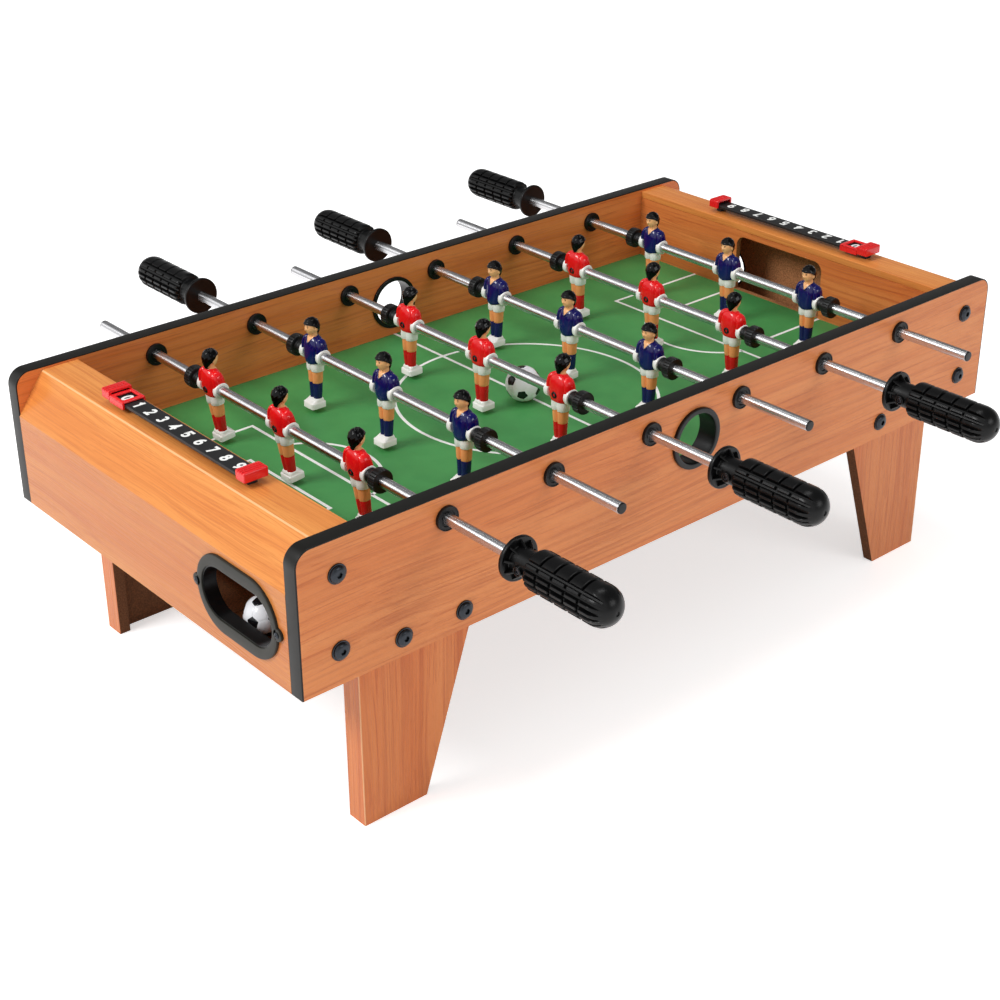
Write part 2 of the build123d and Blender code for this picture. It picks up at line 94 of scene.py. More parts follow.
def outward(part):
    # a part whose volume comes out negative is inside out, so its faces are turned round
    points, faces = part[0], part[1]
    centred = points - points.mean(axis=0)
    if sum(faceVolume(centred, group) for group in faces) < 0:
        faces = [group[:, ::-1] for group in faces]
    return (points, faces) + tuple(part[2:])


def rounded(corners, cut, steps=4, closed=False):
    # each corner becomes a quadratic curve that starts and ends `cut` away along its two edges:
    # (1 - t)^2 start + 2 t (1 - t) corner + t^2 end
    corners = np.asarray(corners, float)
    cut = np.broadcast_to(np.asarray(cut, float).reshape(-1, 1), (len(corners), 1))
    t = np.linspace(0, 1, steps + 1)[:, None]

    def toward(other):
        span = np.maximum(np.linalg.norm(other - corners, axis=1, keepdims=True), 1e-9)
        return corners + (other - corners) * np.minimum(cut / span, 0.48)

    start, end = toward(np.roll(corners, 1, 0)), toward(np.roll(corners, -1, 0))
    curves = ((1 - t) ** 2 * start[:, None] + 2 * t * (1 - t) * corners[:, None] + t ** 2 * end[:, None])
    if closed:
        return curves.reshape(-1, corners.shape[1])
    return np.vstack([corners[:1], curves[1:-1].reshape(-1, corners.shape[1]), corners[-1:]])


def lathe(profile, segments, ringed=False):
    # a profile of (place along Y, radius) turned about Y: point (i, j) is (r_i sin a_j, y_i, r_i cos a_j)
    along, radius = np.asarray(profile, float).T
    angle = circle(segments)
    points = np.stack([np.outer(radius, np.sin(angle)), np.repeat(along[:, None], segments, 1),
                       np.outer(radius, np.cos(angle))], -1)
    return points.reshape(-1, 3), gridFaces(len(along), segments, closedRows=ringed)


def loft(rings, closedRows=False):
    # rings is an array (rows, columns, 3): the surface that joins each closed ring to the next
    return rings.reshape(-1, 3), gridFaces(*rings.shape[:2], closedRows)


def disc(start, end, radius, steps, segments):
    # a flat disc along Y with its outer edge rounded
    corners = [(start, 0), (start, radius), (end, radius), (end, 0)]
    return lathe(rounded(corners, [0.1, 0.1, 0.7, 0.1], steps), segments)


def turnedRings(rings, count):
    # rings of (place along Y, distance to the axis at each angle, or one distance for all)
    angle = circle(count)
    return loft(np.stack([atPlace(np.stack([away * np.sin(angle), away * np.cos(angle)], -1), "Y", y)
                          for y, away in rings]))


def sphereGrid(rows, columns, start):
    # points of a sphere of radius 1: (sin p cos a, sin p sin a, cos p), with p from start to pi - start
    angle = circle(columns)[None, :]
    polar = np.linspace(start, math.pi - start, rows)[:, None]
    return np.stack([np.sin(polar) * np.cos(angle), np.sin(polar) * np.sin(angle),
                     np.broadcast_to(np.cos(polar), (rows, columns))], -1)


def superRing(angle, halfX, halfY, power):
    # superellipse: x = a |cos|^(2/p) sign(cos), y = b |sin|^(2/p) sign(sin)
    c, s = np.cos(angle), np.sin(angle)
    return halfX * np.sign(c) * np.abs(c) ** (2 / power), halfY * np.sign(s) * np.abs(s) ** (2 / power)


def turned(part, axis, degrees):
    # the part's points turned about one of the frame's axes
    c, s = math.cos(math.radians(degrees)), math.sin(math.radians(degrees))
    first, second = [(1, 2), (2, 0), (0, 1)]["XYZ".index(axis)]
    points = part[0].copy()
    points[:, first] = c * part[0][:, first] - s * part[0][:, second]
    points[:, second] = s * part[0][:, first] + c * part[0][:, second]
    return (points,) + tuple(part[1:])


def moved(part, x=0.0, y=0.0, z=0.0):
    return (part[0] + np.array([x, y, z]),) + tuple(part[1:])


def halfTurned(part):
    return turned(part, "Z", 180)


def bothEnds(parts):
    # the parts and the same again after half a turn about the table's middle
    return parts + [halfTurned(part) for part in parts]


def finished(shapes, finish):
    return [shape + (finish,) for shape in shapes]


def extruded(outline, low, high, axis="Y"):
    # an outline carried along an axis from one place to another
    return loft(np.stack([atPlace(outline, axis, place) for place in (low, high)]))


def makePiece(name, parts, body, replaced=(), sharpAngle=32.0):
    # parts are (points in mm, faces, material): one mesh with the parts side by side
    materials, start, points, faces, paints = [], 0, [], [], []
    for part in map(outward, parts):
        if part[2] not in materials:
            materials.append(part[2])
        points.append(part[0] * metre)
        for group in part[1]:
            faces += (group + start).tolist()
            paints += [materials.index(part[2])] * len(group)
        start += len(part[0])
    mesh = bpy.data.meshes.new(name)
    mesh.from_pydata(np.vstack(points).tolist(), [], faces)
    for material in materials:
        mesh.materials.append(material)
    mesh.polygons.foreach_set("material_index", paints)
    mesh.shade_smooth()
    mesh.set_sharp_from_angle(angle=math.radians(sharpAngle))
    mesh.update()
    piece = bpy.data.objects.new(name, mesh)
    bpy.context.scene.collection.objects.link(piece)
    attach(piece, body)
    if replaced:
        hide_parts(*replaced)
    return piece


# Materials


def linear(colour):
    # sRGB hex to linear light: c / 12.92 below 0.04045, and ((c + 0.055) / 1.055) ^ 2.4 above it
    parts = [int(colour[place:place + 2], 16) / 255 for place in (1, 3, 5)]
    return [c / 12.92 if c <= 0.04045 else ((c + 0.055) / 1.055) ** 2.4 for c in parts] + [1.0]


def addNode(tree, kind, settings=None, **inputs):
    # one node with its settings; an input is a value, a hex colour, or another node's output to link
    node = tree.nodes.new("ShaderNode" + kind)
    for key, value in (settings or {}).items():
        setattr(node, key, value)
    for key, value in inputs.items():
        socket = node.inputs[int(key[1:]) if key[0] == "_" else key.replace("_", " ")]
        if isinstance(value, bpy.types.NodeSocket):
            tree.links.new(value, socket)
        else:
            socket.default_value = linear(value) if isinstance(value, str) else value
    return node.outputs


def newMaterial(name):
    material = bpy.data.materials.new(name)
    material.use_nodes = True
    material.node_tree.nodes.clear()
    return material, material.node_tree


def scaled(colour, share):
    # a hex colour turned to linear, with its light scaled by a share
    return [channel * share for channel in linear(colour)[:3]] + [1.0]


def finishMaterial(tree, **surface):
    # the Principled surface and the output
    addNode(tree, "OutputMaterial", Surface=addNode(tree, "BsdfPrincipled", **surface)[0])


def stretched(tree, across, along=None, direction="X", place=None):
    # Object coordinates in units of a pattern: `across` and `along` are its sizes in mm
    place = place or addNode(tree, "TexCoord")["Object"]
    sizes = [1 / (along or across if axis == direction else across) / metre for axis in "XYZ"]
    return addNode(tree, "Mapping", Vector=place, Scale=sizes)[0]


print("helpers ready")


def faceShare(tree, axes, axis, limit, side):
    # 1 on the faces past a distance from the middle plane, or short of it, and 0 on the others
    away = addNode(tree, "Math", {"operation": "ABSOLUTE"}, _0=axes[axis])[0]
    return addNode(tree, "Math", {"operation": side}, _0=away, _1=limit * metre)[0]


def edgeShare(tree, axes, planes, width):
    # 1 along the edge where every listed plane is met, falling to 0 over the width in mm
    share = 1.0
    for axis, place in planes:
        away = addNode(tree, "Math", {"operation": "ABSOLUTE"}, _0=axes[axis])[0]
        off = addNode(tree, "Math", {"operation": "SUBTRACT"}, _0=away, _1=place * metre)[0]
        gap = addNode(tree, "Math", {"operation": "ABSOLUTE"}, _0=off)[0]
        near = addNode(tree, "MapRange", {"interpolation_type": "SMOOTHSTEP"}, Value=gap,
                       From_Min=0.45 * width * metre, From_Max=width * metre, To_Min=1.0,
                       To_Max=0.0)[0]
        share = addNode(tree, "Math", {"operation": "MULTIPLY"}, _0=share, _1=near)[0]
    return share


# after the pores come the width in mm and the colour of the painted highlight drawn along pale edges
wood = {"drift": (60, 260), "sway": 18, "figure": (24, 420), "growth": (3.4, 280), "line": (1.05, 170),
        "pore": (0.8, 9), "paintedHighlightWidth": 0.8, "paintedHighlight": "#ffd9a4", "rawRoughness": 0.85}


def woodLaminate(name, direction, light, flush, dark, papered=(), pale=(), paintedShade=None, roughness=0.3,
                 backed="#6d452b"):
    # Cherry-grain paper under a clear melamine coat, pressed on fibreboard: fine reddish lines that sway
    # with the figure, under an even gloss. Faces that are not `papered` show the raw brown board, `pale`
    # edges get a painted highlight, a paler line where a rounded edge would catch the light, and the faces
    # picked out for shade are darkened by a tint, a painted shade on the same sheet.
    material, tree = newMaterial(name)
    place = addNode(tree, "TexCoord")["Object"]
    axes = addNode(tree, "SeparateXYZ", Vector=place)
    axes = {axis: axes[axis] for axis in "XYZ"}
    drift = addNode(tree, "TexNoise", Vector=stretched(tree, *wood["drift"], direction, place), Scale=1,
                    Detail=2)["Color"]
    sway = [0 if axis == direction else wood["sway"] * metre for axis in "XYZ"]
    swayed = addNode(tree, "VectorMath", {"operation": "MULTIPLY_ADD"}, _0=drift, _1=sway, _2=place)[0]

    def grain(layer, detail, low, high, share):
        noise = addNode(tree, "TexNoise", Vector=stretched(tree, *wood[layer], direction, swayed), Scale=1,
                        Detail=detail, Roughness=0.6)[0]
        return addNode(tree, "MapRange", Value=noise, From_Min=low, From_Max=high, To_Max=share)[0]

    figure = grain("figure", 2, 0.38, 0.62, 1.0)
    growth = grain("growth", 2, 0.48, 0.66, 0.45)
    line = grain("line", 3, 0.5, 0.66, 0.7)                 # finer lines, about a millimetre apart
    pore = grain("pore", 1, 0.56, 0.72, 0.2)                # pores, drawn wider than the real 0.3 mm
    colour = addNode(tree, "MixRGB", Fac=figure, Color1=light, Color2=flush)[0]
    for share in (growth, line, pore):
        colour = addNode(tree, "MixRGB", Fac=share, Color1=colour, Color2=dark)[0]
    # painted shade: the picked faces' colour is multiplied by a tint to darken them
    if paintedShade:
        *where, shadeTint = paintedShade
        share = faceShare(tree, axes, *where)
        colour = addNode(tree, "MixRGB", {"blend_type": "MULTIPLY"}, Fac=share, Color1=colour,
                         Color2=shadeTint)[0]
    # painted highlight: each listed edge is mixed halfway to a pale colour, as if a rounded edge caught the
    # light
    for planes in pale:
        edge = edgeShare(tree, axes, planes, wood["paintedHighlightWidth"])
        paintedHighlight = addNode(tree, "Math", {"operation": "MULTIPLY"}, _0=edge, _1=0.5)[0]
        colour = addNode(tree, "MixRGB", Fac=paintedHighlight, Color1=colour, Color2=wood["paintedHighlight"])[0]
    dull = addNode(tree, "MapRange", Value=line, To_Min=roughness - 0.03, To_Max=roughness + 0.07)[0]
    if papered:
        kept = 0.0
        for where in papered:
            face = faceShare(tree, axes, *where)
            kept = addNode(tree, "Math", {"operation": "MAXIMUM"}, _0=face, _1=kept)[0]
        raw = fibreColour(tree, backed)
        colour = addNode(tree, "MixRGB", Fac=kept, Color1=raw, Color2=colour)[0]
        dull = addNode(tree, "MapRange", Value=kept, To_Min=wood["rawRoughness"], To_Max=dull)[0]
    relief = addNode(tree, "Bump", Strength=0.05, Distance=0.0002, Height=line)[0]
    finishMaterial(tree, Base_Color=colour, Roughness=dull, Specular_IOR_Level=0.25, Normal=relief)
    return material


def fibreColour(tree, middle):
    # pressed fibres in flecks about a millimetre across, from seven to fourteen tenths of the middle colour
    fleck = addNode(tree, "TexNoise", Vector=stretched(tree, 1.2), Scale=1, Detail=3)[0]
    share = addNode(tree, "MapRange", Value=fleck, From_Min=0.35, From_Max=0.7)[0]
    return addNode(tree, "MixRGB", Fac=share, Color1=scaled(middle, 0.7), Color2=scaled(middle, 1.4))[0]


def rawBoard(name, middle):
    # Unfaced fibreboard, sawn: matt brown with pressed fibre flecks and a rough face
    material, tree = newMaterial(name)
    nap = addNode(tree, "TexNoise", Vector=stretched(tree, 1.2), Scale=1, Detail=3)[0]
    relief = addNode(tree, "Bump", Strength=0.25, Distance=0.0003, Height=nap)[0]
    finishMaterial(tree, Base_Color=fibreColour(tree, middle), Roughness=wood["rawRoughness"], Normal=relief)
    return material


def fieldBoard():
    # Green ink on a vinyl-faced sheet: even satin green with a faint mottle and a fine pebble
    material, tree = newMaterial("printed_field_sheet")
    mottle = addNode(tree, "TexNoise", Vector=stretched(tree, 26), Scale=1, Detail=3)[0]
    pebble = addNode(tree, "TexNoise", Vector=stretched(tree, 1.1), Scale=1, Detail=2)[0]
    share = addNode(tree, "MapRange", Value=mottle, From_Min=0.35, From_Max=0.65)[0]
    colour = addNode(tree, "MixRGB", Fac=share, Color1="#3f8c4a", Color2="#46944f")[0]
    relief = addNode(tree, "Bump", Strength=0.12, Distance=0.0002, Height=pebble)[0]
    finishMaterial(tree, Base_Color=colour, Roughness=0.5, Normal=relief)
    return material


def mouldedPlastic(name, colour, roughness, grain=0.8, relief=0.08, gloss=0.5):
    # Injection-moulded plastic: one colour with a barely uneven depth, and the die's fine eroded skin,
    # which breaks up the gloss. `grain` is the skin's size in mm, drawn coarser than the real 0.1 mm.
    material, tree = newMaterial(name)
    skin = addNode(tree, "TexNoise", Vector=stretched(tree, grain), Scale=1, Detail=2)[0]
    cloud = addNode(tree, "TexNoise", Vector=stretched(tree, 14), Scale=1, Detail=2)[0]
    tone = addNode(tree, "MixRGB", Fac=cloud, Color1=colour, Color2=scaled(colour, 0.9))[0]
    dull = addNode(tree, "MapRange", Value=cloud, To_Min=roughness - 0.05, To_Max=roughness + 0.05)[0]
    bump = addNode(tree, "Bump", Strength=relief, Distance=0.0001, Height=skin)[0]
    finishMaterial(tree, Base_Color=tone, Roughness=dull, Specular_IOR_Level=gloss, Normal=bump)
    return material


def metal(name, colour, roughness):
    # Bare or plated steel: mirror reflections, slightly drawn out by polishing lines about 15 mm long
    material, tree = newMaterial(name)
    line = addNode(tree, "TexNoise", Vector=stretched(tree, 0.5, 15), Scale=1, Detail=2)[0]
    dull = addNode(tree, "MapRange", Value=line, To_Min=roughness * 0.7, To_Max=roughness * 1.5)[0]
    tone = addNode(tree, "MixRGB", Fac=line, Color1=colour, Color2=scaled(colour, 0.86))[0]
    bump = addNode(tree, "Bump", Strength=0.04, Distance=0.00005, Height=line)[0]
    finishMaterial(tree, Base_Color=tone, Metallic=1.0, Roughness=dull, Normal=bump)
    return material


def turnedChrome():
    # Steel tube polished as it turns, then chromed: scratches run round it, so lights draw out into even
    # bands along it, and what it mirrors is blurred along it but stays sharp across it
    material, tree = newMaterial("chromed_steel_tube")
    around = addNode(tree, "Tangent", {"direction_type": "RADIAL", "axis": "Y"})[0]
    line = addNode(tree, "TexNoise", Vector=stretched(tree, 30, 12, "Y"), Scale=1, Detail=2)[0]
    dull = addNode(tree, "MapRange", Value=line, To_Min=0.22, To_Max=0.25)[0]
    tone = addNode(tree, "MixRGB", Fac=line, Color1="#d8d8da", Color2="#cfcfd2")[0]
    finishMaterial(tree, Base_Color=tone, Metallic=1.0, Roughness=dull, Anisotropic=0.92,
                   Anisotropic_Rotation=0.25, Tangent=around)
    return material


def ballEnamel(patchAttribute):
    # Moulded white ball with black pads: the pads' place comes from the piece's own attribute
    material, tree = newMaterial("moulded_ball_plastic")
    pad = addNode(tree, "Attribute", {"attribute_name": patchAttribute})["Fac"]
    share = addNode(tree, "MapRange", Value=pad, From_Min=0.45, From_Max=0.55)[0]
    grit = addNode(tree, "TexNoise", Vector=stretched(tree, 0.9), Scale=1, Detail=2)[0]
    colour = addNode(tree, "MixRGB", Fac=share, Color1="#f6f7fb", Color2="#101014")[0]
    bump = addNode(tree, "Bump", Strength=0.05, Distance=0.0001, Height=grit)[0]
    finishMaterial(tree, Base_Color=colour, Roughness=0.24, Normal=bump)
    return material


board = {"goalWall": 5.0, "topWidth": 29.0}      # a goal wall's thickness, and from its face to the fold
endX, goalX = boxOf("right_end_panel")[1][0], boxOf("goal_walls")[1][0] - board["goalWall"]
legFace, innerFace = boxOf("leg_far_right")[1][1], boxOf("far_side_panel")[0][1]
foldX = goalX + board["topWidth"]
laminate = {
    # the sides' inner faces are darkened by a tint: painted shade on the same laminate as the outer faces
    "sides": woodLaminate("laminate_along_sides", "X", "#e79257", "#e0854b", "#c06738",
                          paintedShade=("Y", innerFace + 2, "LESS_THAN", "#fff4e6")),
    # the fold between the top and the slope gets a painted highlight, a paler line along it
    "decks": woodLaminate("laminate_on_decks", "Y", "#e79850", "#de8944", "#c87338",
                          pale=[[("X", foldX)]], roughness=0.24),
    "ends": woodLaminate("laminate_across_ends", "Y", "#d28645", "#ca773a", "#b86531",
                         papered=[("X", endX - 0.6, "GREATER_THAN")], roughness=0.3, backed="#ad764d"),
    "goals": woodLaminate("laminate_on_goal_walls", "Y", "#e28b4c", "#d6773d", "#b65a2c",
                          papered=[("X", goalX + 0.6, "LESS_THAN")], roughness=0.28, backed="#ad764d"),
    # the legs' outer corner edges get a painted highlight, a paler line along them
    "legs": woodLaminate("laminate_down_legs", "Z", "#dd874e", "#d67a42", "#b75e31",
                         papered=[("Y", legFace - 0.4, "GREATER_THAN"), ("X", goalX - 0.4, "GREATER_THAN")],
                         pale=[[("X", goalX), ("Y", legFace)]]),
}
brownBoard = rawBoard("raw_fibreboard", "#6d452b")
boxBoard = rawBoard("pale_fibreboard", "#ad764d")      # inside the goal boxes
field = fieldBoard()
whiteInk = mouldedPlastic("screen_printed_white_ink", "#fafbf8", 0.42, relief=0.03)
trimVinyl = mouldedPlastic("extruded_vinyl_edge_band", "#1a1917", 0.36, grain=0.7, relief=0.12, gloss=0.2)
blackPlastic = mouldedPlastic("moulded_black_abs", "#0c0c0d", 0.3, gloss=0.28)
bezelPlastic = mouldedPlastic("moulded_charcoal_abs", "#2a2923", 0.42, relief=0.12, gloss=0.2)
gripPlastic = mouldedPlastic("moulded_grip_vinyl", "#09090a", 0.3, relief=0.1, gloss=0.22)
bushingPlastic = mouldedPlastic("moulded_black_nylon", "#0d0d0e", 0.45, gloss=0.25)
rubber = mouldedPlastic("moulded_black_rubber", "#0a0a0b", 0.38, grain=0.6, relief=0.12, gloss=0.4)
redPlastic = mouldedPlastic("moulded_red_abs", "#ec1f22", 0.26)
railPlastic = mouldedPlastic("moulded_rail_abs", "#1f1f20", 0.45, gloss=0.35)
chrome = turnedChrome()
blackSteel = metal("black_oxide_steel", "#3a3d42", 0.3)
zincSteel = metal("zinc_plated_steel", "#b9bcc0", 0.3)
paint = {
    "redShirt": mouldedPlastic("painted_red_shirt", "#ee1219", 0.18, relief=0.05),
    "redSock": mouldedPlastic("painted_red_sock", "#cf0512", 0.26, relief=0.05),
    "blueShirt": mouldedPlastic("painted_navy_shirt", "#080a5a", 0.12, relief=0.05),
    "blueSock": mouldedPlastic("painted_navy_sock", "#0b0c52", 0.26, relief=0.05),
    "white": mouldedPlastic("moulded_white_abs", "#fbfaf6", 0.24, relief=0.05),
    "skin": mouldedPlastic("painted_face_tone", "#ffc084", 0.24, relief=0.05),
    "leg": mouldedPlastic("painted_leg_tone", "#ffa564", 0.26, relief=0.05),
    "hair": mouldedPlastic("painted_black_hair", "#020203", 0.09, relief=0.1, grain=1.4, gloss=0.2),
}
print("materials ready")

# The cabinet's boards are the CAD's own, with their finishes

boardFinish = {
    "near_side_panel": laminate["sides"], "far_side_panel": laminate["sides"],
    "left_end_panel": laminate["ends"], "right_end_panel": laminate["ends"],
    "goal_walls": laminate["goals"],
    "leg_near_left": laminate["legs"], "leg_near_right": laminate["legs"],
    "leg_far_left": laminate["legs"], "leg_far_right": laminate["legs"], "leg_strips": laminate["legs"],
    "playfield_board": brownBoard, "box_floors": boxBoard, "ball_ramps": boxBoard, "corner_blocks": boxBoard,
    "field_sheet": field, "bolt_nuts": zincSteel,
}
for node, finish in boardFinish.items():
    nodes[node].data.materials.clear()
    nodes[node].data.materials.append(finish)

halfWidth = boxOf("far_side_panel")[1][1]
fieldEnd, innerHalf, fieldTop = boxOf("field_sheet")[1]
rodCount = 6
rodX = [(boxOf(f"rod_{n}")[0][0] + boxOf(f"rod_{n}")[1][0]) / 2 for n in range(1, rodCount + 1)]
rodZ = (boxOf("rod_1")[0][2] + boxOf("rod_1")[1][2]) / 2

# Edge band along the top and ends of each side

edgeBand = {"thickness": 1.0, "cornerRadius": 12.0, "cornerSteps": 14, "edgeRound": 0.45}


def edgeBandPath(lengthHalf, bottom, top, radius, steps):
    # the side's outline in the XZ plane: up the right end, round the corner, along the top and down
    a = np.linspace(0, math.pi / 2, steps + 1)
    right = np.stack([lengthHalf - radius + radius * np.cos(a), top - radius + radius * np.sin(a)], -1)
    left = right[::-1] * [-1, 1]
    outline = np.vstack([[[lengthHalf, bottom]], right, left, [[-lengthHalf, bottom]]])
    normal = np.vstack([[[1, 0]], np.stack([np.cos(a), np.sin(a)], -1),
                        np.stack([-np.cos(a), np.sin(a)], -1)[::-1], [[-1, 0]]])
    return atPlace(outline, "Y", 0), atPlace(normal, "Y", 0)


def edgeBandParts(ySide):
    trimLow, trimHigh = boxOf("edge_trims")
    path, normal = edgeBandPath(trimHigh[0], trimLow[2], trimHigh[2], edgeBand["cornerRadius"],
                                edgeBand["cornerSteps"])
    low, high = sorted((ySide * innerHalf, ySide * halfWidth))
    inner = -edgeBand["thickness"]
    cuts = [0.01, edgeBand["edgeRound"], edgeBand["edgeRound"], 0.01]
    section = rounded(rectangle(inner, 0, low, high), cuts, 4, closed=True)
    rings = path[:, None, :] + normal[:, None, :] * section[None, :, :1] + [0, 1, 0] * section[None, :, 1:]
    floor, reach = trimLow[2], trimHigh[0] + inner - 0.01
    underside = rectangle(low, high, floor, floor - inner)
    return [loft(rings) + (trimVinyl,), extruded(underside, -reach, reach, "X") + (laminate["sides"],)]


makePiece("edge_bands", edgeBandParts(1) + edgeBandParts(-1), "table", ["edge_trims"])

# End decks: the top board and the slope board under one sheet, folded over a small round

deck = {"thickness": 6.0, "foldRound": 2.2, "lipRound": 0.7}


def deckPart():
    # the bent section of both boards, carried across the table between the sides
    topLow, topHigh = boxOf("top_boards")
    slopeLow, slopeHigh = boxOf("slope_boards")
    run, drop = slopeHigh[0] - foldX, slopeHigh[2] - slopeLow[2]
    slant = math.hypot(run, drop)
    under = np.array([foldX, slopeHigh[2]]) - deck["thickness"] * np.array([drop, run]) / slant
    bendX = under[0] - (topLow[2] - under[1]) * run / drop
    footX = boxOf("right_end_panel")[0][0]
    outline = [(goalX, topHigh[2]), (foldX, topHigh[2]), (slopeHigh[0], topHigh[2] - drop),
               (footX, under[1] - (footX - under[0]) * drop / run), (bendX, topLow[2]), (goalX, topLow[2])]
    cuts = [deck["lipRound"], deck["foldRound"], 0.02, 0.1, 0.1, deck["lipRound"]]
    return extruded(rounded(outline, cuts, 5, closed=True), topLow[1], topHigh[1]) + (laminate["decks"],)


makePiece("end_decks", bothEnds([deckPart()]), "table", ["top_boards", "slope_boards"])

# Field markings: flat bands of ink, a hair above the sheet

markings = {"line": 2.6, "lift": 0.08, "circle": 103.0, "penaltyX": 191.5, "penaltyY": 96.0,
            "goalX": 225.0, "goalY": 49.0, "arcX": 213.0, "arcRadius": 57.0, "arcSteps": 96,
            "sideGap": 0.2, "halfwayLift": 0.12}


def inkBand(path, closed=False, width=None, low=None, high=None):
    # the path is offset half a line width to each side along the mitre of its two runs, and given depth
    path, width = np.asarray(path, float), width or markings["line"]
    low, high = low or fieldTop, high or fieldTop + markings["lift"]
    ahead = np.roll(path, -1, 0) - path
    behind = path - np.roll(path, 1, 0)
    if not closed:
        ahead[-1], behind[0] = behind[-1], ahead[0]
    ahead, behind = unit(ahead), unit(behind)
    mitre = np.stack([-(ahead + behind)[:, 1], (ahead + behind)[:, 0]], -1)
    mitre = mitre / (1 + (ahead * behind).sum(1, keepdims=True))
    left, right = path + mitre * width / 2, path - mitre * width / 2
    rings = np.stack([atPlace(side, "Z", z)
                      for side, z in ((left, low), (left, high), (right, high), (right, low))], 1)
    return rings.reshape(-1, 3), gridFaces(len(path), 4, closedRows=closed), whiteInk


def fieldMarkings():
    # the circle, the halfway line, and at each end the arc and the two boxes open to the end
    halfwayEnd = innerHalf - markings["sideGap"]
    angle = np.linspace(0, 2 * math.pi, markings["arcSteps"], endpoint=False)
    parts = [inkBand(markings["circle"] * np.stack([np.cos(angle), np.sin(angle)], -1), True),
             inkBand([(0, -halfwayEnd), (0, halfwayEnd)], high=fieldTop + markings["halfwayLift"])]
    reach = math.acos((markings["arcX"] - markings["penaltyX"]) / markings["arcRadius"])
    bow = np.linspace(math.pi - reach, math.pi + reach, 32)
    arc = np.stack([markings["arcX"] + markings["arcRadius"] * np.cos(bow),
                    markings["arcRadius"] * np.sin(bow)], -1)
    ends = [arc] + [np.array([(fieldEnd, -y), (x, -y), (x, y), (fieldEnd, y)])
                    for x, y in ((markings["penaltyX"], markings["penaltyY"]),
                                 (markings["goalX"], markings["goalY"]))]
    return parts + [inkBand(path * side) for path in ends for side in (1, -1)]


makePiece("field_markings", fieldMarkings(), "table")
print("cabinet ready")

# Rod bushings, entry rings, bolts

bushing = {"flange": 8.6, "lip": 2.5, "face": 2.0, "sunk": 1.1, "barrel": 6.4, "bore": 4.08, "reach": 5.85,
           "segments": 56}


def bushingHalf():
    # section of one flanged half: a countersunk bore, a flat face, the flange's thin rim and the barrel
    b = bushing
    corners = [(-b["reach"], b["bore"]), (b["sunk"], b["bore"]), (b["sunk"] + 0.2, b["bore"] + 1.3),
               (b["face"], b["bore"] + 1.6), (b["face"], b["flange"] - 0.9), (b["lip"], b["flange"] - 0.7),
               (b["lip"], b["flange"]), (0, b["flange"]), (0, b["barrel"]), (-b["reach"], b["barrel"])]
    cuts = [0.1, 0.2, 0.2, 0.2, 0.2, 0.3, 0.45, 0.15, 0.1, 0.1]
    return lathe(rounded(corners, cuts, 4, closed=True), b["segments"], ringed=True)


def bushingParts():
    half = bushingHalf()
    return [moved(shape, x, y * sign, rodZ) + (bushingPlastic,) for x in rodX for y in (halfWidth, -innerHalf)
            for sign, shape in ((1, half), (-1, halfTurned(half)))]


makePiece("rod_bushing_set", bushingParts(), "table", ["rod_bushings"])

entryRing = {"bore": 19.0, "wall": 1.8, "outer": 23.25, "inner": 22.25, "lip": 2.5, "innerLip": 2.0,
             "segments": 96}


def entryRingParts():
    e = entryRing
    low, high = boxOf("entry_rings")
    z = (low[2] + high[2]) / 2
    outerY, innerY = halfWidth + e["lip"], innerHalf - e["innerLip"]
    outer = rounded([(innerY, e["bore"]), (outerY, e["bore"]), (outerY, e["outer"]), (halfWidth, e["outer"]),
                     (halfWidth, e["bore"] + e["wall"]), (innerY, e["bore"] + e["wall"])],
                    [0.4, 1.2, 0.9, 0.1, 0.1, 0.3], 5, closed=True)
    inner = rounded(rectangle(innerY, innerHalf, e["bore"] + e["wall"] + 0.05, e["inner"]),
                    [0.1, 0.1, 0.1, 0.8], 5, closed=True)
    parts = [moved(lathe(profile, e["segments"], ringed=True), 0, 0, z) for profile in (outer, inner)]
    return finished([shape for part in parts for shape in (part, halfTurned(part))], blackPlastic)


makePiece("ball_entry_rings", entryRingParts(), "table", ["entry_rings"])

bolt = {"head": 5.9, "rise": 2.4, "rim": 0.5, "crown": 2.3, "socket": 1.8, "socketDepth": 1.3, "shank": 2.5,
        "tip": 0.4, "washer": 6.9, "washerThickness": 1.0, "segments": 48, "legX": (264.0, 214.0),
        "endX": 313.0, "endLow": 153.0, "margin": 6.0, "legLength": 26.0, "endLength": 32.0}


def hexRing(across, segments):
    # distance to a hexagon's side at each angle: half the width over the cosine of the angle from its middle
    a = np.arange(segments) * 360 / segments
    return across / np.cos(np.radians((a + 30) % 60 - 30))


def boltParts(length):
    # button head from its rim over a dome to a hexagon socket with a flat floor, then a plain shank
    n, tip = bolt["segments"], bolt["tip"]
    base, top = bolt["washerThickness"], bolt["washerThickness"] + bolt["rise"]
    dome = np.linspace(0, 1, 9)
    reach = bolt["head"] - (bolt["head"] - bolt["crown"]) * dome ** 1.6
    rise = base + bolt["rim"] + (bolt["rise"] - bolt["rim"]) * np.sin(dome * math.pi / 2)
    socket = hexRing(bolt["socket"], n)
    rings = [(-length, bolt["shank"] - tip), (-length + tip, bolt["shank"]), (base, bolt["shank"]),
             (base, bolt["head"]), *zip(rise, reach), (top, socket + 0.15), (top - 0.15, socket),
             (top - bolt["socketDepth"], socket)]
    washer = rounded(rectangle(0, base, bolt["shank"] + 0.2, bolt["washer"]), [0.1, 0.1, 0.25, 0.1], 3,
                     closed=True)
    return finished([turnedRings(rings, n), lathe(washer, n, ringed=True)], blackSteel)


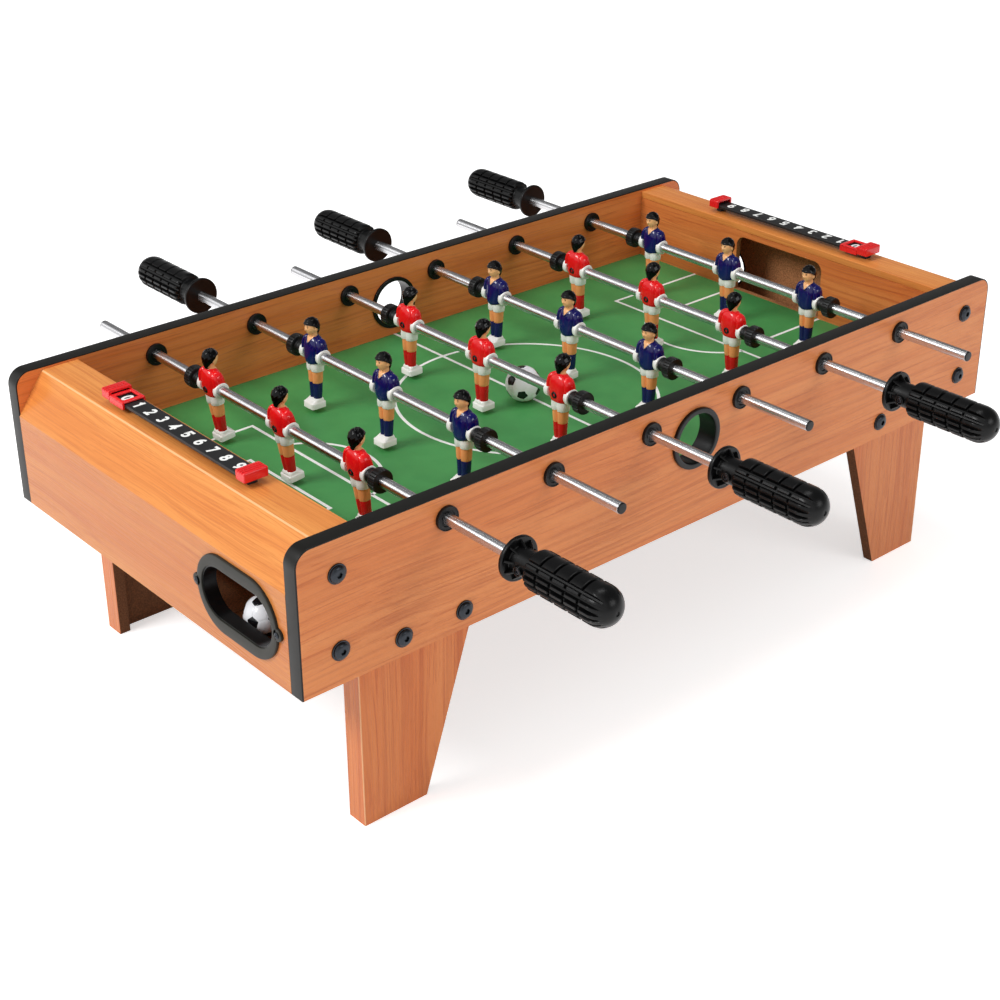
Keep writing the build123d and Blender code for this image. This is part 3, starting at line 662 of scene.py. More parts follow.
def sideBolts():
    # through each leg and each corner block; the margin is from a bolt's middle to the node's own edge
    low, high = boxOf("side_bolts")
    places = [(x, low[2] + bolt["margin"], bolt["legLength"]) for x in bolt["legX"]]
    places += [(bolt["endX"], z, bolt["endLength"]) for z in (bolt["endLow"], high[2] - bolt["margin"])]
    return [moved(shape, sign * x, y, z) for x, z, length in places for piece in boltParts(length)
            for sign in (1, -1) for y, shape in ((halfWidth, piece), (-halfWidth, halfTurned(piece)))]


makePiece("side_bolt_set", sideBolts(), "table", ["side_bolts"])
print("fittings ready")

# Return bezels with their screws

bezel = {"length": 90.0, "height": 56.6, "openLength": 78.0, "openHeight": 37.5, "lip": 2.0, "depth": 10.5,
         "sleeve": 1.2, "lining": (-1.0, 0.6), "liningSunk": 0.9, "liningPast": 0.4, "mouth": (0.6, 1.2),
         "rim": (0.8, 1.6), "ear": 4.5, "screwHead": 2.2, "screwRise": 1.15, "y": 113.0, "arcSteps": 28}


def obround(length, height, steps):
    # two half circles of radius height / 2, joined by straight sides: (y, z) for each step round
    a = np.linspace(-math.pi / 2, math.pi / 2, steps)
    cap = np.stack([(length - height) / 2 + height / 2 * np.cos(a), height / 2 * np.sin(a)], -1)
    return np.vstack([cap, -cap])


def bezelParts():
    # an obround plate with a rounded mouth, a black lining in its sleeve, and an ear with a screw at each end
    b = bezel
    low, high = boxOf("return_bezels")
    z, faceX = (low[2] + high[2]) / 2, endX + b["lip"]
    insideX = faceX - b["depth"]

    def opening(x, grown):
        return x, b["openLength"] + grown, b["openHeight"] + grown

    liningIn, liningOut = b["lining"]
    backX, frontX = insideX - b["liningPast"], faceX - b["liningSunk"]
    lining = [opening(backX, liningIn), opening(frontX, liningIn), opening(frontX, liningOut),
              opening(backX, liningOut)]
    # from the sleeve's inner end, out over the rounded mouth, across the plate and back
    (mouthX, mouthOut), (rimX, rimOut), start = b["mouth"], b["rim"], liningOut + 0.1
    bend = np.linspace(0, math.pi / 2, 5)
    plate = [opening(insideX, start)]
    plate += [opening(faceX - mouthX + mouthX * math.sin(t), start + mouthOut * (1 - math.cos(t)))
              for t in bend]
    plate += [(faceX - rimX + rimX * math.cos(t), b["length"] - rimOut + rimOut * math.sin(t),
               b["height"] - rimOut + rimOut * math.sin(t)) for t in bend]
    plate += [(endX, b["length"], b["height"]), opening(endX, 2 * b["sleeve"]),
              opening(insideX, 2 * b["sleeve"])]
    parts = []
    for levels, finish in ((plate, bezelPlastic), (lining, blackPlastic)):
        rings = [atPlace(obround(length, height, b["arcSteps"]) + [b["y"], z], "X", x)
                 for x, length, height in levels]
        parts.append(loft(np.array(rings), closedRows=True) + (finish,))
    ear = disc(endX, faceX, b["ear"], 4, 40)
    radius, top = b["screwHead"], faceX + b["screwRise"]
    head = lathe([(faceX, 0.0), (faceX, radius), (top - 0.7, radius - 0.05), (top - 0.25, radius - 0.5),
                  (top, 1.0), (top, 0.55), (top - 0.55, 0.5), (top - 0.55, 0.0)], 32)
    for side in (-1, 1):
        for shape, finish in ((ear, bezelPlastic), (head, blackSteel)):
            onEnd = turned(shape, "Z", -90)
            parts.append(moved(onEnd, 0, b["y"] + side * b["length"] / 2, z) + (finish,))
    return bothEnds(parts)


makePiece("return_bezel_set", bezelParts(), "table", ["return_bezels", "bezel_screws"])
print("bezels ready")

# Rods: drawn about the Y axis with the handle at -Y and the men facing +X, then put in place

restLeans = [6.0, 1.0, 0.0, 0.0, 3.0, 0.0]      # degrees, feet forward
rodShape = {"radius": 4.0, "wall": 1.0, "seatInHandle": 50.0, "capSeat": 1.0, "capLength": 1.8,
            "capRadius": 3.9, "segments": 64}


def ontoRod(part, index):
    # the part is leaned about the rod, given half a turn on every second rod, and carried to the axis
    part = turned(part, "Y", -restLeans[index])
    part = halfTurned(part) if index % 2 else part
    return moved(part, rodX[index], 0, rodZ)


handleStart, plainEnd = -boxOf("handle_1")[1][1], boxOf("rod_fittings_1")[1][1]


def tubeParts():
    r, bore = rodShape["radius"], rodShape["radius"] - rodShape["wall"]
    low, high = -(handleStart + rodShape["seatInHandle"]), plainEnd - rodShape["capSeat"]
    return lathe([(low, bore), (low, r - 0.2), (low + 0.2, r), (-handleStart, r), (0, r), (high - 0.2, r),
                  (high, r - 0.2), (high, bore)], rodShape["segments"]) + (chrome,)


def endCapParts():
    return disc(plainEnd - rodShape["capLength"], plainEnd, rodShape["capRadius"], 6, 48) + (blackPlastic,)


# Handles: a flange with gussets, a neck with its screw boss, and a ridged grip with a domed end

handle = {"length": 87.3, "bore": 4.05, "flangeRadius": 15.0, "flange": 3.0, "neckRadius": 9.0,
          "neckEnd": 18.5, "shoulderEnd": 22.4, "gripRadius": 13.4, "sideArc": 52.0, "grooves": 6,
          "grooveDepth": 3.0, "grooveHalf": (3.0, 7.0), "ringStart": 30.5, "ringPitch": 12.0, "rings": 4,
          "ringDepth": 2.2, "ringHalf": (0.6, 1.25), "gussets": 9, "gussetThickness": 1.3, "gussetBevel": 0.3,
          "bossRadius": 3.6, "bossReach": 10.9, "bossPlace": 12.0, "bossHole": 2.3, "bossSunk": 1.1,
          "screw": (2.15, 0.9, 1.1)}                     # its radius, rise and socket
# a gusset's corners: away from the axis, and along from the back of the flange
gusset = np.array([(7.0, 0.5), (13.3, 0.5), (13.3, -0.4), (9.7, -4.8), (8.8, -5.4), (7.0, -5.4)])


def smooth(x, low, high):
    # 0 below low, 1 above high, and t^2 (3 - 2 t) between; low may be the larger
    t = np.clip((np.asarray(x, float) - low) / (high - low), 0, 1)
    return t * t * (3 - 2 * t)


def grooveAngles():
    side = np.linspace(-handle["sideArc"], handle["sideArc"], handle["grooves"])
    return np.concatenate([side, side + 180])


def gripAngles():
    # close together where a groove's wall is, wide apart on the ridges and plates
    fine = np.array([-7.2, -6.4, -5.6, -4.8, -4.0, -3.2, -1.6, 0, 1.6, 3.2, 4.0, 4.8, 5.6, 6.4, 7.2])
    walls = (grooveAngles()[:, None] + fine).ravel()
    ridges = np.concatenate([np.arange(-41.6, 42, 20.8) + shift for shift in (-1.7, 0, 1.7)])
    plates = np.linspace(58, 122, 11)
    every = np.concatenate([walls, ridges, ridges + 180, plates, plates + 180])
    return np.radians(np.unique(np.round(every % 360, 3)))


def gripPart():
    # distance to the axis: the lesser of the revolved outline and the floor of the grooves, which is the
    # grip's radius less the deeper of the long grooves and the ring grooves; past the neck only
    h = handle
    angle = gripAngles()
    middles = h["ringStart"] + h["ringPitch"] * np.arange(h["rings"])
    fine = np.array([-1.35, -1.1, -0.9, -0.7, -0.5, 0, 0.5, 0.7, 0.9, 1.1, 1.35])
    bend = np.linspace(0, math.pi / 2, 13)[:-1]
    domeStart = h["length"] - h["gripRadius"]
    outline = rounded([(0, h["bore"]), (0, h["flangeRadius"]), (h["flange"], h["flangeRadius"]),
                       (h["flange"], h["neckRadius"]), (h["neckEnd"], h["neckRadius"]),
                       (h["neckEnd"] + 1.0, h["gripRadius"]), (h["shoulderEnd"] + 2, h["gripRadius"])],
                      [0.1, 0.9, 0.9, 0.9, 0.7, 2.6, 0.1], 6)
    straight = np.concatenate([np.arange(25.5, domeStart, 3.0), (middles[:, None] + fine).ravel()])
    straight = np.unique(np.round(straight, 3))
    dome = np.stack([domeStart + h["gripRadius"] * np.sin(bend), h["gripRadius"] * np.cos(bend)], -1)
    dimple = [(h["length"] - 0.12, 1.7), (h["length"] - 0.35, 1.45), (h["length"] - 0.75, 1.3),
              (h["length"] - 0.8, 0.4)]
    profile = np.vstack([outline, np.stack([straight, np.full(len(straight), h["gripRadius"])], -1), dome,
                         dimple])
    along, radius = profile[:, :1], profile[:, 1:]
    degrees = np.degrees(angle)
    away = np.abs((degrees[:, None] - grooveAngles()[None, :] + 180) % 360 - 180).min(axis=1)
    groove = smooth(away, h["grooveHalf"][1], h["grooveHalf"][0])[None, :]
    nearest = np.abs(along - middles[None, :]).min(axis=1, keepdims=True)
    ring = smooth(nearest, h["ringHalf"][1], h["ringHalf"][0]) * h["ringDepth"]
    floor = h["gripRadius"] - np.maximum(groove * h["grooveDepth"], ring)
    distance = np.where(along > h["neckEnd"], np.minimum(radius, floor), radius)
    grid = np.stack([distance * np.cos(angle), np.broadcast_to(-(handleStart + along), distance.shape),
                     distance * np.sin(angle)], -1)
    return loft(grid) + (gripPlastic,)


def bevelledPlate(outline, thickness, bevel):
    # an outline in the XY plane given thickness along Z, its rim drawn in by the bevel on both faces
    outline = np.asarray(outline, float)
    middle = outline.mean(axis=0)
    drawn = outline + unit(middle - outline) * bevel
    half = thickness / 2
    layers = [(drawn, -half), (outline, bevel - half), (outline, half - bevel), (drawn, half)]
    return loft(np.array([atPlace(layer, "Z", z) for layer, z in layers]))


def handleParts():
    h = handle
    fin = bevelledPlate(gusset - [0, handleStart + h["flange"]], h["gussetThickness"], h["gussetBevel"])
    fins = [turned(fin, "Y", index * 360 / h["gussets"]) for index in range(h["gussets"])]
    foot, radius, top, hole = 5.0, h["bossRadius"], h["bossReach"], h["bossHole"]
    seat = top - h["bossSunk"]
    boss = lathe(rounded([(foot, 0.0), (foot, radius), (top, radius), (top, hole + 0.05), (seat, hole),
                          (seat, 0.0)], [0.1, 0.1, 0.6, 0.3, 0.1, 0.1], 5), 40)
    onNeck = [moved(turned(shape, "Z", 90), 0, -(handleStart + h["bossPlace"]))
              for shape in (boss, screwHead(seat, *h["screw"]))]
    return [gripPart()] + finished(fins + onNeck[:1], gripPlastic) + finished(onNeck[1:], blackSteel)


def screwHead(seat, radius, rise, socket):
    # low domed head along Y with a hexagon socket
    top, hexagon = seat + rise, hexRing(socket, 36)
    return turnedRings([(seat, radius * 0.9), (seat, radius), (seat + rise * 0.55, radius),
                        (seat + rise * 0.9, radius * 0.86), (top, radius * 0.7), (top, hexagon + 0.08),
                        (top - 0.1, hexagon), (seat + rise * 0.25, hexagon)], len(hexagon))


# Bumpers: a neck towards the man and a wider buffer towards the side

bumper = {"start": 100.8, "face": 114.5, "neck": 5.4, "disc": 8.5, "discLength": 7.0, "bore": 4.08,
          "flutes": 24, "fluteDepth": 0.5, "grooveHalf": 0.6, "grooveDepth": 0.5, "grooveFromMan": 2.6,
          "grooveFromDisc": 0.8, "segments": 144}


def bumperParts():
    # a turned section whose rim has shallow flutes: radius less depth * smooth(cos(flutes * angle))
    b = bumper
    step, start, neck = b["face"] - b["discLength"], b["start"], b["neck"]
    half, middles = b["grooveHalf"], (start + b["grooveFromMan"], step - b["grooveFromDisc"])
    grooves = [corner for middle in middles for corner in (
        (middle - half, neck), (middle, neck - b["grooveDepth"]), (middle + half, neck))]
    section = rounded([(start, b["bore"]), (start, neck), *grooves, (step, b["disc"]), (b["face"], b["disc"]),
                       (b["face"], b["bore"])],
                      [0.2, 0.8, 0.2, 0.2, 0.2, 0.2, 0.2, 0.2, 1.3, 0.9, 0.4], 6, closed=True)
    points, faces = lathe(section, b["segments"], ringed=True)
    radius = np.hypot(points[:, 0], points[:, 2])
    flute = smooth(np.cos(b["flutes"] * np.arctan2(points[:, 0], points[:, 2])), 0.45, 0.95)
    depth = b["fluteDepth"] * flute * smooth(radius, neck + 1.2, b["disc"] - 0.4)
    points = points * (1 - depth / radius)[:, None] ** np.array([1, 0, 1])
    return bothEnds([(points, faces, rubber)])


# The men, in their own frame: x forward, y across, z up from the rod

man = {"spacing": 88.0, "columns": 44, "shirtHem": -5.6, "headCentre": (2.0, 0.0, 22.6), "screwSeat": 5.2,
       "screw": (2.7, 2.2, 1.25)}                        # its radius, rise and socket
# each part's levels from below: height, half depth, half width, and then, where they differ from a plain
# body's, the cleft between the legs, the superellipse's power, the middle's place forward, the cleft's width
bodyLevels = {
    "shoe": [(-43.5, 6.15, 5.9, 0, 8, 1.65), (-43.15, 6.65, 6.4, 0, 8, 1.65), (-39.05, 6.65, 6.4, 0, 8, 1.65),
             (-38.6, 6.3, 6.1, 0, 8, 1.65), (-38.35, 5.55, 5.85, 0, 8, 1.65), (-37.1, 5.0, 5.7, 0, 4, 0.8),
             (-36.1, 4.3, 5.5, 0.12, 3, 0.4), (-35.7, 3.7, 5.2, 0.2, 3, 0.3)],
    "sock": [(-37.7, 3.4, 5.0, 0.3, 2.5, 0.2), (-35.6, 3.6, 5.2, 0.34, 2.5, 0.2), (-30.2, 3.9, 5.5, 0.36),
             (-23.1, 4.25, 5.8, 0.36), (-22.4, 4.0, 5.6, 0.36)],
    "leg": [(-23.5, 3.8, 5.3, 0.42), (-22.9, 4.3, 5.8, 0.42), (-21.6, 4.6, 6.0, 0.42), (-15, 4.75, 6.4, 0.42),
            (-12, 4.8, 6.6, 0.4)],
    "shorts": [(-13, 4.7, 6.6, 0.44, 2.5, 0, 1.2), (-13, 5.35, 7.25, 0.44, 2.5, 0, 1.2),
               (-12.7, 5.55, 7.45, 0.42, 2.5, 0, 1.2), (-9, 5.65, 7.45, 0.22, 2.5, 0, 1.3),
               (-4.6, 5.5, 7.2, 0.04)],
    "neck": [(11.5, 3.2, 3.6, 0, 2, 0.5), (15.5, 3.1, 3.4, 0, 2, 0.7), (19.5, 3.1, 3.2, 0, 2, 1.2)],
}


def bodySection(z, halfX, halfY, cleft=0.0, power=2.5, centreX=0.0, cleftWidth=1.0):
    # superellipse whose front and back sink towards the middle line by the share `cleft`, as two legs do
    x, y = superRing(circle(man["columns"]), halfX, halfY, power)
    x = x * (1 - cleft * np.exp(-(y / cleftWidth) ** 2))
    return atPlace(np.stack([x + centreX, y], -1), "Z", z)


def bodyPart(name):
    return loft(np.array([bodySection(*level) for level in bodyLevels[name]]))


shirtLevels = np.array([
    # height, half depth, half width, power
    (0.0, 5.2, 6.9, 2.5), (0.0, 5.9, 7.7, 2.5), (0.35, 6.15, 7.95, 2.5), (3.0, 6.6, 8.5, 2.5),
    (6.0, 6.8, 8.8, 2.6), (9.5, 6.75, 8.9, 2.7), (13.0, 6.5, 8.9, 2.8), (16.0, 5.9, 8.4, 2.7),
    (18.2, 5.1, 7.4, 2.5), (19.8, 4.2, 5.9, 2.3), (20.6, 3.4, 4.3, 2.1), (20.7, 2.4, 3.0, 2.0)])


def shirtPart():
    # near the hem each level is lowered by 1.5 times how far forward the point is, less towards the sides
    base = man["shirtHem"]
    grid = np.array([bodySection(base + rise, depth, width, 0, power, 0.15)
                     for rise, depth, width, power in shirtLevels])
    forward = np.clip(grid[..., 0] / 6, 0, 1)
    across = np.clip(1 - np.abs(grid[..., 1]) / 8, 0, 1)
    low = 1 - smooth(grid[..., 2], base + 0.5, base + 7)
    grid[..., 2] -= 1.5 * forward * across * low
    return loft(grid)


def armPart():
    # a sleeve from the shoulder out and down to the cuff: circles across a quadratic path
    t = np.linspace(0, 1, 10)[:, None]
    path = (1 - t) ** 2 * [0.2, 5.2, 13.2] + 2 * t * (1 - t) * [0.2, 10.0, 12.4] + t ** 2 * [0.0, 9.6, 0.6]
    ahead = unit(np.gradient(path, axis=0))
    outwards = np.stack([0 * ahead[:, 0], -ahead[:, 2], ahead[:, 1]], -1)
    radius = np.interp(t[:, 0], [0, 0.12, 0.35, 0.7, 1], [1.6, 3.4, 4.5, 5.1, 5.3])
    narrow = np.interp(t[:, 0], [0, 0.4, 1], [1.3, 2.9, 2.5])
    angle = circle(32)
    grid = (path[:, None] + radius[:, None, None] * np.cos(angle)[None, :, None] * [1.0, 0, 0]
            + narrow[:, None, None] * np.sin(angle)[None, :, None] * outwards[:, None])
    return loft(grid)


def cuffPart():
    section = rounded([(8.2, 4.05), (8.2, 5.6), (9.2, 6.2), (12.5, 6.2), (12.5, 4.05)],
                      [0.1, 0.6, 0.8, 0.9, 0.4], 5, closed=True)
    return lathe(section, 44, ringed=True)


def headGrid(angle, polar, swell=0.0):
    # an egg round the head's centre: narrower below, with a small nose, hollows for the eyes and a chin
    dx, dy = np.sin(polar) * np.cos(angle), np.sin(polar) * np.sin(angle)
    dz = np.broadcast_to(np.cos(polar), dx.shape)
    below = np.clip(-dz, 0, 1)
    front = np.clip(dx, 0, 1)
    taper = 1 - 0.2 * below ** 2
    x = (5.6 + swell) * dx * taper + 0.7 * below ** 2 * front
    y = (4.9 + swell) * dy * taper
    z = np.where(dz > 0, 6.2 + swell, 7.2 + swell) * dz
    nose = np.exp(-(dy / 0.15) ** 2 - ((dz + 0.2) / 0.15) ** 2)
    eyes = np.exp(-((np.abs(dy) - 0.33) / 0.14) ** 2 - ((dz - 0.02) / 0.1) ** 2)
    mouth = np.exp(-(dy / 0.25) ** 2 - ((dz + 0.52) / 0.05) ** 2)
    x = x + front * (1.15 * nose - 0.45 * eyes - 0.18 * mouth) * (swell == 0)
    return np.stack([x, y, z], -1) + man["headCentre"]


def headPart():
    return loft(headGrid(circle(72)[None, :], np.linspace(0.03, math.pi - 0.03, 56)[:, None]))


def hairPart():
    # a cap over the head whose edge is low at the brow's fringe, above the ears, and runs down to a
    # point at the nape; beyond its edge the surface turns in to the head
    angle = circle(64)
    fromFront = np.degrees(np.abs((angle + math.pi) % (2 * math.pi) - math.pi))
    edge = np.interp(fromFront, [0, 35, 62, 80, 98, 120, 140, 158, 172, 180],
                     [70, 68, 72, 80, 92, 106, 120, 132, 140, 142])
    share = np.concatenate([[0.02], np.linspace(0.08, 1, 18)])[:, None]
    polar = np.radians(edge)[None, :] * share
    lumps = 0.2 * np.sin(7 * angle + 5 * polar) * np.sin(7 * polar + 1.3 * np.cos(3 * angle))
    outer = headGrid(angle[None, :], polar, 1.05)
    centre = np.array(man["headCentre"])
    away = outer - centre
    length = np.linalg.norm(away, axis=-1, keepdims=True)
    nape = smooth(np.degrees(polar), 100, 142) * smooth(fromFront, 120, 175)[None, :]
    outer = centre + away / length * (length + lumps[..., None] + 1.8 * nape[..., None])
    tuck = [centre + (outer[-1] - centre) * scale for scale in (0.93, 0.8)]
    return loft(np.concatenate([outer, np.array(tuck)]))


def ellipsoid(centre, sizes, rows=14, columns=20):
    return loft(sphereGrid(rows, columns, 0.05) * sizes + centre)


def faceMarks():
    # painted brows and eyes: small flat drops on the head's own surface
    marks = []
    for side in (1, -1):
        for rise, turn, sizes in ((0.2, 0.34, (0.32, 0.95, 0.24)), (0.02, 0.33, (0.3, 0.5, 0.26))):
            polar = math.acos(rise)
            angle = side * math.asin(turn / math.sin(polar))
            centre = headGrid(np.array([[angle]]), np.array([[polar]]))[0, 0]
            marks.append(ellipsoid(centre, sizes, 8, 12))
    return marks


def chestOpening():
    # the V of bare skin: flat ellipses that narrow down the chest, a little proud of the shirt
    z = np.array([15.2, 14.4, 13.2, 12.0, 10.8, 9.8, 9.3])
    halfY = np.array([3.5, 3.4, 2.75, 1.95, 1.15, 0.45, 0.1])
    front = np.interp(z - man["shirtHem"], shirtLevels[:, 0], shirtLevels[:, 1]) + 0.15
    x, y = superRing(circle(28)[None, :], 1.6, halfY[:, None], 2.6)
    x = np.broadcast_to(x, y.shape) + front[:, None] - 1.25
    grid = np.stack([x, y, np.broadcast_to(z[:, None], x.shape)], -1)
    return loft(grid)


def tube(path, radius, segments=10):
    # a circle carried along a closed path: path + r (side cos a + up sin a), where side and up are square
    # to the path
    path = np.asarray(path, float)
    ahead = unit(np.roll(path, -1, 0) - np.roll(path, 1, 0))
    side = unit(np.cross(ahead, [0, 0, 1.0]))
    up = np.cross(side, ahead)
    a = circle(segments)[None, :, None]
    return loft(path[:, None] + radius * (np.cos(a) * side[:, None] + np.sin(a) * up[:, None]),
                closedRows=True)


def collarPart():
    right = [(-2.9, 0, 15.1), (-2.2, 2.8, 15.1), (0.8, 4.0, 14.7), (3.7, 3.5, 13.4), (5.6, 2.0, 11.6)]
    corners = np.array(right + [(6.75, 0, 9.2)] + [(x, -y, z) for x, y, z in right[:0:-1]])
    return tube(rounded(corners, 1.6, 4, closed=True), 0.62)


def manParts(team):
    shirt, sock, leg, white, skin, hair = [paint[key] for key in (
        team + "Shirt", team + "Sock", "leg", "white", "skin", "hair")]
    ears = [ellipsoid((1.4, y, 21.4), (1.2, 0.8, 1.8)) for y in (4.75, -4.75)]
    groups = [(white, [bodyPart("shoe")]), (sock, [bodyPart("sock")]), (leg, [bodyPart("leg")]),
              (white, [bodyPart("shorts")]), (shirt, [shirtPart(), *bothEnds([armPart()])]),
              (white, bothEnds([cuffPart()])), (skin, [headPart()]), (hair, [hairPart()]),
              (skin, [bodyPart("neck"), *ears, chestOpening()]), (shirt, [collarPart()]), (hair, faceMarks())]
    screw = turned(screwHead(man["screwSeat"], *man["screw"]), "Z", 90)
    return [part for finish, shapes in groups for part in finished(shapes, finish)], screw + (blackSteel,)


menSet = {team: manParts(team) for team in ("red", "blue")}
manPlaces = [-man["spacing"], 0.0, man["spacing"]]
tubeShape, capShape, handleShapes, bumperShapes = tubeParts(), endCapParts(), handleParts(), bumperParts()
for index in range(rodCount):
    number, team = index + 1, "blue" if index % 2 else "red"
    figure, screw = menSet[team]
    lineUp = [[moved(part, 0, y) for y in manPlaces for part in parts] for parts in (figure, [screw])]
    pieces = [("rod_tube", "turn", "chrome_tube", "rod", [tubeShape], 32),
              ("grip", "turn", "black_plastic", "handle", handleShapes, 28),
              ("players", "turn", team + "_team", "men", lineUp[0], 38),
              ("rod_ends", "turn", "black_steel", "rod_fittings", [capShape] + lineUp[1], 32),
              ("buffers", "slide", "black_rubber", "bumpers", bumperShapes, 32)]
    for name, body, slot, node, shapes, sharpAngle in pieces:
        makePiece(f"{name}_{number}", [ontoRod(part, index) for part in shapes], f"rod_{number}_{body}",
                  [f"{node}_{number}"], sharpAngle)
print("rods ready")

# Balls: a sphere whose pads and seams come from the faces of a truncated icosahedron

ball = {"radius": 14.0, "rows": 72, "columns": 120, "padLevel": 0.006, "padSharpness": 120, "seamDepth": 0.22,
        "seamWidth": 0.006, "pentagonPlane": 2.327, "hexagonPlane": 2.267}     # planes over the edge length


def icosahedronDirections():
    # twelve corners (0, 1, g) in turn, and the twenty face middles as (1, 1, 1) and (0, 1/g, g) in turn
    g = (1 + math.sqrt(5)) / 2
    corners, faces = [], [(x, y, z) for x in (1, -1) for y in (1, -1) for z in (1, -1)]
    for a in (1, -1):
        for b in (1, -1):
            corners += [(0, a, b * g), (a, b * g, 0), (b * g, 0, a)]
            faces += [(0, a * g, b / g), (a * g, b / g, 0), (b / g, 0, a * g)]
    return unit(np.array(corners)), unit(np.array(faces))


def padFrame(first, second):
    # three directions square to each other: the first, what of the second is square to it, and their cross
    # product
    first = unit(np.array(first))
    second = unit(np.array(second) - first * np.dot(first, second))
    return np.stack([first, second, np.cross(first, second)])


def ballPiece(name, centre, padAt, nextPadAt, body, replaced=()):
    # turned so that one pad faces padAt and the next one lies towards nextPadAt; each direction belongs to
    # the face whose plane it meets first; seams sink by depth * exp(-gap^2) where two faces meet
    b = ball
    ways = sphereGrid(b["rows"], b["columns"], 0.02).reshape(-1, 3)
    corners, faces = icosahedronDirections()
    reach = np.hstack([ways @ corners.T / b["pentagonPlane"], ways @ faces.T / b["hexagonPlane"]])
    ordered = np.sort(reach, axis=1)
    gap = (ordered[:, -1] - ordered[:, -2]) / b["seamWidth"]
    seam = np.exp(-gap ** 2)
    pad = reach[:, :12].max(axis=1) - reach[:, 12:].max(axis=1)
    turn = padFrame(corners[0], corners[np.argsort(corners @ corners[0])[-2]]).T @ padFrame(padAt, nextPadAt)
    points = ways * (b["radius"] - b["seamDepth"] * seam[:, None]) @ turn + centre
    piece = makePiece(name, [(points, gridFaces(b["rows"], b["columns"]), ballFinish)], body,
                      replaced)
    values = np.clip(0.5 + (pad - b["padLevel"]) * b["padSharpness"], 0, 1).astype(np.float32)
    piece.data.attributes.new("padShare", "FLOAT", "POINT").data.foreach_set("value", values)


ballFinish = ballEnamel("padShare")
returnLow, returnHigh = boxOf("return_ball")
ballPiece("waiting_ball", (returnLow + returnHigh) / 2, (-0.35, -0.08, 0.93), (-0.93, -0.38, -0.03), "table",
          ["return_ball"])
ballPiece("field_ball", (-7.4, -4.6, fieldTop + ball["radius"]), (-0.2, -0.75, 0.62), (-0.9, 0.1, 0.4),
          "table")
print("balls ready")

# Score counters: rail with digits, end brackets, and the slider with its window

counter = {"pitch": 15.4, "raise": 0.1, "strokeLift": 0.02, "stroke": 2.0}
digitShape = {"halfWide": 2.1, "halfHigh": 3.7, "arcStep": 12.0}
rail = {"halfWide": 7.2, "edge": 0.6, "footHalf": 3.4, "footStart": 1.0, "footEnd": 5.5, "seat": 5.0}
bracket = {"wall": 1.8, "topRound": 1.4, "ridge": 0.75, "ridgePitch": 2.3, "ridges": 3}
slider = {"plate": 1.3, "windowX": 12.6, "windowY": 10.5, "windowBevel": 0.6, "windowSunk": 0.5, "rim": 0.8,
          "rimCut": 0.25, "skirt": 1.5, "skirtSeat": 0.2, "skirtShort": 0.1}


def arcPath(x, y, halfX, halfY, start, end):
    # an ellipse's arc: (x + a cos t, y + b sin t), with t in degrees from the right
    count = int(abs(end - start) / digitShape["arcStep"]) + 2
    t = np.radians(np.linspace(start, end, count))
    return np.stack([x + halfX * np.cos(t), y + halfY * np.sin(t)], -1)


def digitStrokes(digit):
    # the middle lines of a digit's strokes, in mm about its centre: x to its right and y to its top
    w, h = digitShape["halfWide"], digitShape["halfHigh"]
    bowl = arcPath(0, -1.5, w, h - 1.5, 0, 348)
    tail = rounded([(1.4, h + 0.2), (-1.5, 2.2), (-w, -1.5)], 3.2, 8)
    return {
        0: [arcPath(0, 0, w - 0.1, h, 0, 348)],
        1: [[(0.5, h + 1.0), (0.5, -h - 1.0)], [(-1.9, 1.7), (0.6, h - 0.1)]],
        2: [np.vstack([arcPath(0, h - w, w, w, 165, -30), [(-1.5, -h - 0.3)]]),
            [(-w - 0.7, -h), (w + 0.9, -h)]],
        3: [arcPath(-0.2, 1.9, w - 0.2, 1.8, 150, -80), arcPath(-0.2, -1.7, w, 2.0, 80, -150)],
        4: [[(1.0, h + 1.0), (1.0, -h - 1.0)], [(1.2, h - 0.2), (-2.2, -1.6), (w + 0.9, -1.6)]],
        5: [[(w + 0.6, h), (-1.6, h)], np.vstack([[(-1.6, h + 1.0), (-1.8, 0.1)],
                                                  arcPath(-0.1, -1.5, w, 2.2, 120, -150)])],
        6: [bowl, tail],
        7: [[(-w - 0.7, h), (w - 0.2, h)], [(w - 0.3, h + 0.9), (-1.0, -h - 1.0)]],
        8: [arcPath(0, 1.95, w - 0.4, 1.75, 0, 348), arcPath(0, -1.75, w, 1.95, 0, 348)],
        9: [-bowl, -tail],
    }[digit]


def digitParts(digit, x, y, z):
    # the strokes laid flat on the left rail: the digit's top points along +X and its right along -Y
    parts = []
    for layer, stroke in enumerate(digitStrokes(digit)):
        path = np.asarray(stroke, float)
        closed = np.linalg.norm(path[0] - path[-1]) < 1.0
        high = z + counter["raise"] + layer * counter["strokeLift"]
        parts.append(inkBand(path[:, ::-1] * [1, -1] + [x, y], closed, counter["stroke"], z - 0.05, high))
    return parts


def frameRing(halfX, halfY, z, corner=1.0):
    # a rectangle with rounded corners, at one height
    corners = [(halfX, -halfY), (halfX, halfY), (-halfX, halfY), (-halfX, -halfY)]
    return atPlace(rounded(corners, corner, 4, closed=True), "Z", z)


